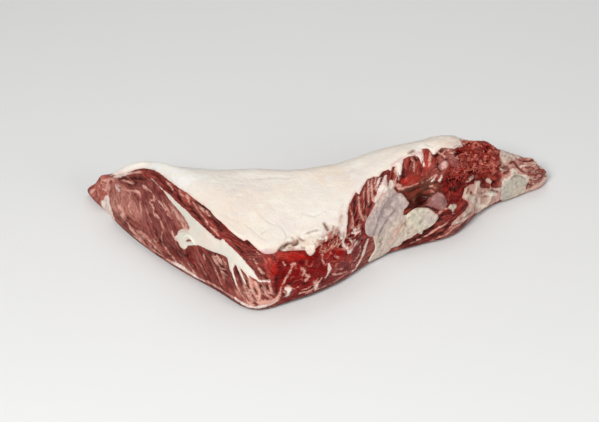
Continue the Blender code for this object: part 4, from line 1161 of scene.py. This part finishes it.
cap_tone = coats(
    tint(233, 224, 212),
    (236, 235, 230, ease(-40, -110, cap_along) * 0.9),
    (232, 214, 196, ease(-0.1, 0.7, ragged(cap_grid, 34, 51)) * 0.8),
    (226, 214, 210, ease(0.0, 0.7, ragged(cap_grid, 17, 52)) * 0.6),
    (238, 232, 220, ease(0.1, 0.7, ragged(cap_grid, 9, 53)) * 0.7),
    (216, 184, 172, ease(2.6, 0.0, cap_cut + 1.4 * ragged(cap_grid, 8, 54)) * 0.5),
    (212, 190, 160, crumpled * ease(0.1, 0.8, ragged(cap_grid, 6, 55)) * 0.6),
    (164, 126, 92, ease(0.75, 0.98, crumble) * crumbly * 0.8),
    (128, 76, 44, ease(1.2, -0.5, tan) * 0.95),
    (204, 164, 164, ease(1.4, -1.8, soaked) * 0.85),
    (214, 186, 166, crumpled * ease(-0.3, 0.5, ragged(cap_grid, 3, 43)) * 0.75),
    # Painted shade: the faint creases are greyed.
    (196, 184, 176, ease(0.9, -0.3, shaded_faint_crease) * 0.5),
    (150, 96, 62, ease(2.2, 0.3, cracks) * 0.6),
    # The cracks in dark brown: partly the tissue in them and partly painted shade in the recess.
    (84, 34, 14, ease(0.9, -0.1, cracks) * 0.95),
    (218, 202, 190, ease(86, 100, cap_along) * 0.6),
    (198, 154, 142, ease(-0.1, 0.6, ragged(cap_grid, 5, 61)) * end_in * 0.7),
    (140, 88, 72, ease(0.8, 0.98, crumble) * ease(0.0, 0.5, ragged(cap_grid, 7, 62)) * end_in * 0.7),
    (150, 58, 42, fringe * 0.9),
)
write(fat_cap.data, "tone", "FLOAT_COLOR", whole(used, cap_tone))

# The fat's material: soft blotches, fine grain and shallow dents over the painted colour
mottle_group, took, gave = group(
    "fat mottle", [("Vector", "NodeSocketVector", None)],
    [("Blotch", "NodeSocketFloat"), ("Cloud", "NodeSocketFloat"), ("Grain", "NodeSocketFloat")])
for label, scale, detail, rough in (("Blotch", 60.0, 4.0, 0.6), ("Cloud", 150.0, 3.0, 0.55),
                                    ("Grain", 620.0, 3.0, 0.6)):
    mottle_group.links.new(
        add(mottle_group, "ShaderNodeTexNoise", Vector=took.outputs["Vector"], Scale=scale, Detail=detail,
            Roughness=rough, Distortion=0.6).outputs[0], gave.inputs[label])


def fat(name, warm, cool, mottled, bump):
    """Beef fat over its painted tone: a warm and a cool colour in blotches, and the depth of its dents."""
    made = bpy.data.materials.new(name)
    made.use_nodes = True
    tree = made.node_tree
    shader = tree.nodes["Principled BSDF"]
    spots = use(tree, mottle_group, Vector=add(tree, "ShaderNodeTexCoord").outputs["Object"])
    colour = mix(tree, band(tree, spots.outputs["Blotch"], 0.45, 0.68, 0.0, mottled),
                 attribute(tree, "tone", "Color"), warm)
    colour = mix(tree, band(tree, spots.outputs["Cloud"], 0.5, 0.7, 0.0, mottled), colour, cool)
    colour = mix(tree, band(tree, spots.outputs["Grain"], 0.3, 0.5, 0.5 * mottled, 0.0), colour, warm)
    tree.links.new(colour, shader.inputs["Base Color"])
    tree.links.new(band(tree, spots.outputs["Cloud"], 0.3, 0.7, 0.42, 0.6), shader.inputs["Roughness"])
    settle(shader, Specular_IOR_Level=0.3, Subsurface_Weight=0.15, Subsurface_Radius=(1.0, 0.6, 0.4),
           Subsurface_Scale=SUBSURFACE_SCALE)
    height = weighted(tree, (spots.outputs["Cloud"], 1.4), (spots.outputs["Grain"], 0.5),
                      (spots.outputs["Blotch"], 1.6))
    dents = add(tree, "ShaderNodeBump", Strength=bump, Distance=BUMP_DISTANCE, Height=height)
    tree.links.new(dents.outputs[0], shader.inputs["Normal"])
    return made


cap_fat = fat("cap fat", tint(230, 214, 198), tint(222, 214, 208), 0.4, 0.5)
fat_cap.data.materials.append(cap_fat)
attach(fat_cap, "root")
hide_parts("fat_cap")


# The seam: the band of fat between two muscles, where the cut end crosses it. It swells a little
# out of the cut face, forks into strands at the point and curls into a lump at its middle.
SEAM_DEPTH = 2.5
SEAM = [
    (-122, 0.915), (-118, 0.885), (-112, 0.84), (-109, 0.835), (-104.5, 0.83), (-99, 0.81), (-95, 0.8),
    (-91, 0.79), (-86, 0.77), (-81, 0.757), (-77, 0.742), (-73, 0.725), (-70, 0.715), (-67.5, 0.73),
    (-66, 0.78), (-65, 0.8), (-63.5, 0.79), (-61, 0.78), (-58, 0.77), (-54, 0.745), (-50, 0.7),
    (-46.5, 0.645), (-44, 0.585), (-41.5, 0.52), (-39.5, 0.465), (-43, 0.475), (-46, 0.485), (-49, 0.505),
    (-52, 0.53), (-55, 0.555), (-57, 0.545), (-58.2, 0.47), (-57.4, 0.36), (-55.8, 0.25), (-56.6, 0.24),
    (-58.8, 0.35), (-60, 0.44), (-60.9, 0.53), (-62, 0.57), (-65, 0.562), (-68, 0.54), (-71, 0.515),
    (-74, 0.495), (-77, 0.48), (-80.5, 0.465), (-83, 0.445), (-85.5, 0.415), (-87.5, 0.385), (-89.8, 0.36),
    (-90.5, 0.325), (-92.5, 0.275), (-95.5, 0.275), (-97, 0.315), (-99.5, 0.315), (-100, 0.35), (-98, 0.4),
    (-96, 0.45), (-94, 0.495), (-92, 0.53), (-89.5, 0.565), (-89.2, 0.6), (-90.5, 0.64), (-92.5, 0.67),
    (-95, 0.695), (-99, 0.725), (-104.5, 0.765), (-108.5, 0.805), (-112, 0.825), (-118, 0.87),
]
FORKS = [
    [(-61, 0.6, 2.0), (-60, 0.47, 1.3), (-58.2, 0.38, 1.0), (-56.4, 0.27, 0.7), (-55, 0.2, 0.3)],
    [(-55, 0.56, 1.2), (-52.5, 0.45, 0.8), (-50.5, 0.37, 0.6), (-49, 0.3, 0.3)],
    [(-49, 0.52, 1.0), (-47, 0.44, 0.8), (-46, 0.36, 0.5)],
    [(-43.5, 0.5, 0.8), (-40, 0.46, 0.8), (-36, 0.47, 0.7), (-34.2, 0.44, 0.4)],
]
CURL = [
    [(-97, 0.42, 0.8), (-95.5, 0.47, 1.2), (-92.5, 0.52, 1.4), (-89.5, 0.545, 1.2)],
    [(-99, 0.34, 0.6), (-96.5, 0.345, 1.2), (-94.5, 0.3, 1.2), (-93, 0.29, 0.8)],
]
CLAW = [[(-93.2, 0.41, 0.6), (-91.5, 0.46, 1.1), (-88.5, 0.5, 1.3), (-85.8, 0.48, 1.2), (-84.6, 0.44, 0.8)]]
CURL_HOLE = [[(-91, 0.4, 0.3), (-89.5, 0.43, 0.7), (-87.6, 0.45, 0.5)]]

seam_x = np.arange(-125, -31, 0.5)
seam_v = np.linspace(0.12, 0.98, 110)
seam_grid, seam_normal, _ = surface(seam_x, seam_v)
seam_noise = ragged(seam_grid, 3, 61)
band_in = patch(seam_grid, seam_x, seam_v, SEAM)
forks_in, curl_in, claw_in = (-strokes(seam_grid, paths) for paths in (FORKS, CURL, CLAW))
seam_in = np.maximum.reduce([band_in, forks_in, curl_in, claw_in]) + 0.35 * seam_noise
rise = np.where(seam_in > 0, 0.8 * (1 - np.exp(-seam_in / 0.8)) - 0.15, -0.15 + 1.3 * seam_in)
rise += (0.35 * ragged(seam_grid, 9, 63) + 0.15 * seam_noise) * ease(0, 2, seam_in)
rise += swells(seam_grid) + 1.1 * ease(-0.3, 1.2, curl_in) + 1.5 * ease(-0.3, 1.0, claw_in)
shaded_hole = strokes(seam_grid, CURL_HOLE)
rise -= 1.0 * ease(0.6, -0.6, shaded_hole)
fat_seam, used = shell("fat_seam", seam_grid + seam_normal * rise[..., None],
                       seam_grid - seam_normal * SEAM_DEPTH, cells(seam_in + 0.9))
seam_tone = coats(
    tint(211, 206, 194),
    (226, 210, 198, ease(-0.2, 0.6, ragged(seam_grid, 14, 65)) * 0.7),
    (212, 170, 156, ease(0.9, -0.3, seam_in + 0.6 * ragged(seam_grid, 5, 66)) * 0.7),
    (206, 180, 164, ease(-0.4, 0.6, curl_in) * 0.7),
    # Painted shade in the hole of the curl.
    (160, 142, 118, ease(0.9, -0.4, shaded_hole) * 0.8),
    (228, 226, 212, ease(-0.2, 0.6, claw_in)),
)
write(fat_seam.data, "tone", "FLOAT_COLOR", whole(used, seam_tone))
fat_seam.data.materials.append(fat("seam fat", tint(220, 200, 186), tint(206, 200, 190), 0.35, 0.4))
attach(fat_seam, "root")
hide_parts("seam_fat")


# Layers on the lean: silver skin that runs down the flank into a flap of firm fat, softer fat along
# the belly edge and the tail, and glands at the hollow. Each is a thin shell that hugs the muscle.
LAYER_DEPTH = 2.2
LAYER_FOOT = 0.3
MM_ROUND = 50


def layer(outline, step, height, edge, uneven, seed):
    """The grid, normals, x, v, millimetres in from the border, and rise of a layer over one outline.

    It rises as height * (1 - exp(-inside / edge)), plus the lean's own swells and some noise.
    """
    ring = np.array(outline)
    x = np.arange(ring[:, 0].min() - 2, min(ring[:, 0].max() + 2, HALF - 2), step)
    rows = int(np.ptp(ring[:, 1]) * MM_ROUND / step) + 8
    v = np.linspace(ring[:, 1].min() - 0.06, ring[:, 1].max() + 0.06, rows)
    grid, normal, _ = surface(x, v)
    inside = patch(grid, x, v, outline) + 0.4 * ragged(grid, 2.2, seed + 71)
    rise = np.where(inside > 0, height * (1 - np.exp(-inside / edge)) - 0.15, 1.2 * inside - 0.15)
    rise += swells(grid) + uneven * ragged(grid, 6, seed + 73) * ease(0, 1.5, inside)
    return grid, normal, x, v, inside, rise


def lay(name, grid, normal, inside, rise, painted, material):
    """The layer's shell with its painted colour, in its place on the body."""
    top = grid + normal * rise[..., None]
    top[..., 2] = np.maximum(top[..., 2], LAYER_FOOT)
    made, used = shell(name, top, grid - normal * LAYER_DEPTH, cells(inside + 0.8))
    write(made.data, "tone", "FLOAT_COLOR", whole(used, painted))
    made.data.materials.append(material)
    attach(made, "root")
    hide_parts("lean")


gland = fat("gland", tint(172, 118, 110), tint(142, 84, 80), 0.35, 0.8)
film = fat("silver skin", tint(200, 176, 168), tint(168, 154, 152), 0.5, 0.8)
settle(film.node_tree.nodes["Principled BSDF"], Coat_Weight=0.25, Coat_Roughness=0.2)
flank = fat("flank fat", tint(208, 186, 160), tint(184, 176, 162), 0.5, 0.8)

# Silver skin: painted shade in its folds and painted light on the raised panels between them, its
# lilac and reddened stretches, the thick slab of fat at the flap's right end, and small dark nicks
SHADED_VALLEYS = [
    [(54, 0.86, 1.2), (50, 0.83, 2.0), (46.5, 0.79, 2.2), (43.5, 0.72, 2.2), (41.5, 0.65, 2.2),
     (39.5, 0.57, 2.0), (37.5, 0.49, 1.6), (36.5, 0.44, 0.8)],
    [(56, 0.64, 0.8), (52, 0.62, 1.2), (48, 0.57, 1.4), (44.5, 0.5, 1.6), (41, 0.4, 1.2)],
    [(52, 0.74, 0.8), (55, 0.68, 0.9), (57.5, 0.6, 0.8)],
]
LIT_PANELS = [
    [(55.5, 0.76, 1.0), (57.5, 0.73, 1.6), (60, 0.68, 1.0)], [(46, 0.66, 1.2), (49.5, 0.65, 1.6)],
    [(57, 0.47, 1.2), (53.5, 0.42, 1.6), (49.5, 0.36, 1.8), (46, 0.27, 1.8), (43.5, 0.14, 1.4)],
    [(47, 1.02, 1.6), (42, 1.0, 2.0), (38, 0.95, 2.0), (35, 0.88, 1.6)],
]
LILAC = [
    [(36, 0.9, 1.6), (34, 0.8, 2.4), (33.5, 0.7, 2.4), (34.5, 0.6, 1.8)],
    [(40, 0.86, 1.6), (39, 0.78, 2.0)],
]
BLUSH = [[(58, 0.39, 1.0), (56, 0.33, 1.8), (53, 0.26, 2.0), (50.5, 0.2, 1.6), (48, 0.14, 1.0)]]
SLAB = [
    (60.3, 0.455), (62, 0.465), (64.5, 0.485), (68, 0.482), (71.5, 0.46), (76.5, 0.425), (79.6, 0.37),
    (82.8, 0.315), (83.4, 0.27), (81.5, 0.225), (78, 0.18), (75, 0.165), (72.6, 0.165), (69, 0.165),
    (66, 0.215), (63, 0.29), (61, 0.37), (59.8, 0.42),
]
NICKS = [
    [(59.3, 0.35, 0.3), (60.3, 0.3, 0.5), (61.4, 0.26, 0.3)], [(64.5, 0.24, 0.3), (67, 0.19, 0.4)],
    [(42, 0.25, 0.7)], [(41.5, 0.16, 0.7)], [(43.5, 0.05, 0.6)], [(42.5, 0.19, 0.5)], [(45.5, 0.64, 0.5)],
    [(47, 0.1, 0.4)], [(49, 0.07, 0.4)], [(72, 0.36, 0.4)], [(70, 0.28, 0.4)], [(78, 0.3, 0.4)],
    [(76, 0.38, 0.3)], [(66, 0.12, 0.4)], [(62, 0.18, 0.4)],
]
grid, normal, x, v, inside, rise = layer(FLANK, 0.6, 0.8, 0.8, 0.35, 10)
fold, lit_panel, lilac, blush, nick = (strokes(grid, paths) + 0.8 * ragged(grid, 3, 81)
                                   for paths in (SHADED_VALLEYS, LIT_PANELS, LILAC, BLUSH, NICKS))
slab = patch(grid, x, v, SLAB) + 0.7 * ragged(grid, 2.4, 84)
speck = noise(grid, 1.5, 85)
to_fat = ease(0.52, 0.36, np.broadcast_to(v - 0.01 * (x[:, None] - 45), inside.shape)
              + 0.06 * ragged(grid, 5, 89))
rise += 0.3 * speck + 1.1 * ease(-0.3, 0.6, slab) - 1.3 * ease(1.0, -1.6, fold) + 0.5 * ease(1.0, -1.5, lit_panel)
rise += 0.35 * ragged(grid, 3, 80) * to_fat - 0.7 * ease(0.5, -0.4, nick)
painted = coats(
    tint(184, 162, 156),
    (196, 178, 160, to_fat),
    (178, 168, 154, ease(0.0, 0.7, ragged(grid, 4, 86)) * to_fat * 0.7),
    (182, 160, 166, ease(1.5, -1.5, lilac) * 0.8),
    # Painted light on the raised panels, and painted shade in the folds.
    (206, 184, 174, ease(1.2, -1.5, lit_panel) * 0.8),
    (142, 122, 124, ease(1.2, -1.6, fold) * 0.75),
    (152, 132, 130, ease(0.0, 0.6, ragged(grid, 3, 83)) * (1 - to_fat) * 0.6),
    (206, 150, 126, ease(1.4, -1.6, blush) * 0.8),
    (196, 188, 168, ease(-0.3, 0.6, slab)),
    (166, 162, 140, ease(-0.3, 0.6, slab) * ease(0.0, 0.6, ragged(grid, 2.6, 87)) * 0.8),
    (220, 206, 182, ease(1.6, 0.4, np.abs(slab - 0.4)) * to_fat * 0.6),
    (228, 212, 192, ease(1.3, 0.2, inside + 0.5 * ragged(grid, 3, 88)) * to_fat * 0.8),
    (202, 150, 138, ease(2.0, 0.2, inside + ragged(grid, 3, 90)) * (1 - to_fat) * 0.6),
    (146, 136, 120, ease(0.15, 0.6, speck) * 0.55),
    (222, 212, 196, ease(0.15, 0.6, -speck) * 0.4),
    (112, 92, 74, ease(0.5, -0.5, nick) * 0.75),
)
lay("flank_film", grid, normal, inside, rise, painted, film)

# Belly fat: loose white fat under the torn end. Winding ridges of noise make its soft folds, lighter on
# their crowns as painted highlight and darker in the troughs and fine creases as painted shade. Thin
# gaps split them, painted dark as shade, and painted highlights lie in streaks along the crowns.
SHADED_GAPS = [
    [(111.4, 0.3, 0.3), (111.8, 0.2, 0.8), (111, 0.1, 0.6), (110, 0.03, 0.4)],
    [(108, 0.5, 0.6), (109.5, 0.44, 0.7), (111, 0.42, 0.4)],
    [(123.5, 0.4, 0.4), (126, 0.37, 0.9), (128.5, 0.33, 0.7), (130, 0.28, 0.3)],
    [(114, 0.42, 0.3), (117, 0.38, 0.6), (120, 0.4, 0.3)], [(119, 0.28, 0.4), (122, 0.24, 0.5)],
    [(104, 0.5, 0.4), (106, 0.55, 0.6)], [(112, 0.55, 0.4), (112.8, 0.48, 0.5)],
    [(100, 0.15, 0.4), (105, 0.13, 0.5), (109, 0.1, 0.4)],
]
PAINTED_HIGHLIGHTS = [
    [(112.5, 0.2, 1.2), (115, 0.12, 1.6), (118, 0.06, 1.2)],
    [(120, 0.33, 1.0), (124, 0.29, 1.4), (128, 0.24, 1.0)], [(113, 0.62, 0.8), (114, 0.55, 1.0)],
    [(122, 0.66, 0.8), (123.6, 0.62, 1.0)], [(114, 0.3, 0.8), (114.5, 0.2, 1.0)],
]
grid, normal, x, v, inside, rise = layer(BELLY_FAT, 0.6, 1.0, 0.8, 0.7, 30)
gap, painted_highlight = (strokes(grid, paths) + 0.6 * ragged(grid, 2.5, 90) for paths in (SHADED_GAPS, PAINTED_HIGHLIGHTS))
twist = worms(grid + 1.5 * ragged(grid, 4, 94)[..., None], 8, 91)
shaded_fine_crease = worms(grid + ragged(grid, 3, 82)[..., None], 4, 85)
rise += 1.3 * twist * ease(0, 2, inside) - 1.4 * ease(0.7, -0.6, gap) - 0.5 * shaded_fine_crease
painted = coats(
    tint(188, 162, 150),
    # Painted highlight on the crowns of the folds, painted shade in their troughs.
    (214, 196, 182, ease(0.35, 0.9, twist) * 0.9),
    (186, 128, 118, ease(0.3, 0.0, twist) * 0.6),
    (206, 158, 148, ease(0.2, 0.8, ragged(grid, 5, 93)) * 0.6),
    # Painted shade in the fine creases.
    (146, 92, 82, ease(0.6, 0.95, shaded_fine_crease) * ease(0.2, -0.2, ragged(grid, 6, 84)) * 0.7),
    # Painted highlights in streaks along the crowns.
    (234, 222, 206, ease(0.9, -0.9, painted_highlight) * 0.85),
    # Painted shade in the gaps between the folds.
    (92, 48, 40, ease(0.6, -0.7, gap) * 0.85),
    (178, 110, 98, ease(1.6, 0.0, inside + 0.6 * ragged(grid, 3, 95)) * 0.6),
)
lay("belly_fat", grid, normal, inside, rise, painted, flank)

# Tail fat: a smooth grey pad of firm fat that grows beside the tail, with a paler rim and a thin
# fold across it, painted darker as its shade. Its edge dives under the skin of the lean.
grid, normal, x, v, inside, rise = layer(TAIL_FAT, 0.6, 1.0, 0.9, 0.25, 40)
shaded_dent = strokes(grid, [[(139.5, 0.62, 0.3), (141.5, 0.72, 0.7), (146, 0.76, 0.8), (149.5, 0.7, 0.7),
                       (151.5, 0.6, 0.3)]]) + 0.3 * ragged(grid, 3, 95)
rise -= 1.0 * ease(0.8, -0.8, shaded_dent)
upper = np.broadcast_to(ease(0.4, 0.65, v), inside.shape)
speck = noise(grid, 1.5, 85)
rise += 0.25 * speck + 0.3 * ragged(grid, 3, 81) * upper
painted = coats(
    tint(178, 170, 158),
    (194, 182, 168, ease(0.0, 0.7, ragged(grid, 5, 96)) * 0.7),
    (162, 156, 144, ease(0.1, 0.7, ragged(grid, 3, 92)) * 0.5),
    (226, 206, 192, ease(3.4, 0.8, inside + 0.8 * ragged(grid, 4, 89)) * upper),
    (196, 146, 134, ease(1.0, 0.0, inside) * 0.6),
    # Painted shade in the fold across the pad.
    (136, 122, 110, ease(0.8, -0.6, shaded_dent) * 0.7),
    (148, 130, 118, ease(0.15, 0.6, speck) * 0.5),
    (226, 216, 202, ease(0.15, 0.6, -speck) * 0.35),
)
lay("tail_fat", grid, normal, inside, rise, painted, flank)

# Tail film: a pale ragged skin of connective tissue over the top of the tail, with red meat showing
# through it. It is thinner than the pads and clings to the lean.
grid, normal, x, v, inside, rise = layer(TAIL_FILM, 0.6, 0.6, 0.8, 0.5, 50)
rise += 0.5 * ragged(grid, 2.5, 82)
painted = coats(
    tint(206, 184, 172),
    (166, 104, 92, ease(0.0, 0.6, ragged(grid, 4, 97)) * 0.8),
    (128, 58, 48, ease(0.55, 0.9, worms(grid + 2 * ragged(grid, 4, 94)[..., None], 8, 92)) * 0.7),
    (232, 214, 202, ease(0.1, 0.6, ragged(grid, 3, 99)) * 0.8),
    (140, 84, 70, ease(0.2, 0.6, noise(grid, 1.6, 83)) * 0.6),
    (150, 70, 62, ease(1.2, -0.3, inside) * 0.7),
)
lay("tail_film", grid, normal, inside, rise, painted, flank)

# Glands and loose bits of fat round the hollow: low mounds with faint folds whose grooves are painted
# darker as shade, seated on the lean. Each has its outline, its colour, a second colour and its height
# in millimetres.
BITS = {
    "low_gland": (LOW_GLAND, tint(132, 82, 80), tint(172, 136, 130), 1.8),
    "top_gland": (TOP_GLAND, tint(224, 186, 176), tint(196, 136, 126), 1.4),
    "red_gland": (RED_GLAND, tint(150, 62, 55), tint(188, 106, 94), 2.0),
    "small_gland": (SMALL_GLAND, tint(184, 112, 102), tint(146, 68, 60), 1.2),
    "white_bit": (WHITE_BIT, tint(204, 188, 168), tint(176, 140, 124), 1.0),
    "block_bit": (BLOCK_BIT, tint(226, 208, 186), tint(186, 140, 122), 0.9),
}
for name, (outline, colour, second, height) in BITS.items():
    grid, normal, x, v, inside, rise = layer(outline, 0.45, height, 1.6, 0.5, 60)
    painted = over(colour, second, ease(-0.1, 0.5, ragged(grid, 4, 98)) * 0.9)
    shaded_folds = worms(grid + ragged(grid, 3, 97)[..., None], 5, 94)
    rise += (0.5 * ragged(grid, 2.2, 96) - 0.8 * ease(0.5, 0.95, shaded_folds)) * ease(0.5, 2, inside)
    painted = over(painted, second * 1.15, ease(0.1, 0.6, ragged(grid, 2, 95)) * 0.6)
    # Painted shade in the grooves of the folds.
    painted = over(painted, colour * 0.5, ease(0.5, 0.95, shaded_folds) * 0.6)
    painted = over(painted, tint(128, 46, 38), ease(1.4, 0.0, inside + 0.5 * ragged(grid, 2, 93)) * 0.8)
    lay(name, grid, normal, inside, rise, painted, gland if "gland" in name else flank)


# Torn fibres: curled ends of muscle on the torn lump and on the dark meat below it, along the lip
# of the cap, and on the tail. Each is a short tapered tube laid over the skin in a wavy line.
STRAND_RINGS = 15
STRAND_SIDES = 7
STRAND_MM_ROUND = 45
# Count, centre x and v, spread in x and v, length, radius, lie in degrees, and its two colours
BUNDLES = {
    "torn": (130, (115, 1.27), (14, 0.42), (4.5, 10), (0.4, 0.85), (0, 90),
             (tint(222, 130, 110), tint(134, 22, 16))),
    "torn_low": (40, (98, 0.8), (7, 0.15), (3, 6), (0.3, 0.6), (20, 60),
                 (tint(184, 70, 58), tint(110, 12, 9))),
    "lip": (36, (6.8, 1.0), (6.8, 0.055), (2.5, 5.5), (0.25, 0.5), (90, 30),
            (tint(216, 156, 136), tint(136, 40, 30))),
    "tail": (34, (160, 0.9), (7, 0.5), (4, 9), (0.4, 0.9), (-10, 50),
             (tint(224, 188, 172), tint(142, 66, 56))),
}


def strands(seed, count, centre, spread, lengths, radii, lie, colours):
    """Rings of points and a colour for each strand of one bundle.

    The middle line runs straight along the skin, plus a sine across it, and stands over the swells
    by 0.9 of the radius times cos squared. The radius is flat-topped, sqrt(1 - (2 t)^6), times a
    small ripple.
    """
    dice = np.random.default_rng(seed)
    x0 = centre[0] + spread[0] * dice.uniform(-1, 1, count)
    v0 = centre[1] + spread[1] * dice.uniform(-1, 1, count)
    length, radius = dice.uniform(*lengths, count), dice.uniform(*radii, count)
    turn = np.radians(lie[0] + lie[1] * dice.uniform(-1, 1, count))
    wave, phase = dice.uniform(0.15, 0.35, count), dice.uniform(0, 6.3, count)
    bend = dice.uniform(3, 7, count)
    t = np.linspace(-0.5, 0.5, STRAND_RINGS)[None, :]
    along = length[:, None] * t
    across = (length * wave)[:, None] * np.sin(bend[:, None] * t * 2 + phase[:, None])
    x = x0[:, None] + along * np.cos(turn)[:, None] - across * np.sin(turn)[:, None]
    x = np.clip(x, -HALF + 2, HALF - 2)
    side = along * np.sin(turn)[:, None] + across * np.cos(turn)[:, None]
    v = v0[:, None] + side / STRAND_MM_ROUND
    middle = skin(x.ravel(), v.reshape(-1, 1))[:, 0] - MIDDLE
    ahead = skin(x.ravel() + 0.2, v.reshape(-1, 1))[:, 0] - MIDDLE
    above = skin(x.ravel(), v.reshape(-1, 1) + 0.01)[:, 0] - MIDDLE
    normal = np.cross(ahead - middle, above - middle)
    normal /= np.linalg.norm(normal, axis=1, keepdims=True)
    lift = swells(middle[:, None, :])[:, 0] + 0.5 * ragged(middle, 5, 99)
    arch = 0.9 * radius[:, None] * np.cos(np.pi * t)**2
    middle = (middle + normal * (lift[:, None] + arch.ravel()[:, None])).reshape(count, STRAND_RINGS, 3)
    normal = normal.reshape(count, STRAND_RINGS, 3)
    forward = np.gradient(middle, axis=1)
    sideways = np.cross(forward, normal)
    sideways /= np.linalg.norm(sideways, axis=2, keepdims=True) + 1e-9
    outward = np.cross(sideways, forward)
    outward /= np.linalg.norm(outward, axis=2, keepdims=True) + 1e-9
    thick = radius[:, None] * np.sqrt(np.clip(1 - (2 * t)**6, 0.01, 1))
    thick = thick * (1 + 0.25 * np.sin(9 * t + phase[:, None]))
    angle = np.arange(STRAND_SIDES) * 2 * np.pi / STRAND_SIDES
    ring = (sideways[:, :, None, :] * np.cos(angle)[None, None, :, None]
            + outward[:, :, None, :] * np.sin(angle)[None, None, :, None])
    blend = dice.uniform(0, 1, count)**2.0
    shade = over(colours[1], colours[0], blend)
    return middle[:, :, None, :] + ring * thick[:, :, None, None], shade


made_strands = [strands(seed, *bundle) for seed, bundle in enumerate(BUNDLES.values(), 5)]
rings = np.concatenate([made[0] for made in made_strands])
shades = np.concatenate([made[1] for made in made_strands])
count = len(rings)
strand, ring, side = np.meshgrid(np.arange(count), np.arange(STRAND_RINGS - 1), np.arange(STRAND_SIDES),
                                 indexing="ij")
start = (strand * STRAND_RINGS + ring) * STRAND_SIDES
turned = (side + 1) % STRAND_SIDES
quads = np.stack([start + side, start + turned,
                  start + turned + STRAND_SIDES, start + side + STRAND_SIDES], -1)
first = np.arange(count)[:, None] * STRAND_RINGS * STRAND_SIDES + np.arange(STRAND_SIDES)[None, :]
caps = first[:, ::-1].tolist() + (first + (STRAND_RINGS - 1) * STRAND_SIDES).tolist()
strand_mesh = bpy.data.meshes.new("torn_fibres")
strand_mesh.from_pydata((rings.reshape(-1, 3) * MM).tolist(), [], quads.reshape(-1, 4).tolist() + caps)
strand_mesh.shade_smooth()
torn_fibres = bpy.data.objects.new("torn_fibres", strand_mesh)
bpy.context.scene.collection.objects.link(torn_fibres)
shade_all = np.repeat(shades[:, None, :], STRAND_RINGS * STRAND_SIDES, axis=1)
write(strand_mesh, "tone", "FLOAT_COLOR", shade_all)
write(strand_mesh, "grain", "FLOAT_VECTOR", rings.reshape(count, -1, 3))
for name, value in (("vein", 5.0), ("wet", 0.7), ("marbling", 0.2)):
    write(strand_mesh, name, "FLOAT", np.full((count, STRAND_RINGS * STRAND_SIDES), value))
write(strand_mesh, "vein_tone", "FLOAT_COLOR", np.ones((count, STRAND_RINGS * STRAND_SIDES, 3)))
torn_fibres.data.materials.append(beef)
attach(torn_fibres, "root")
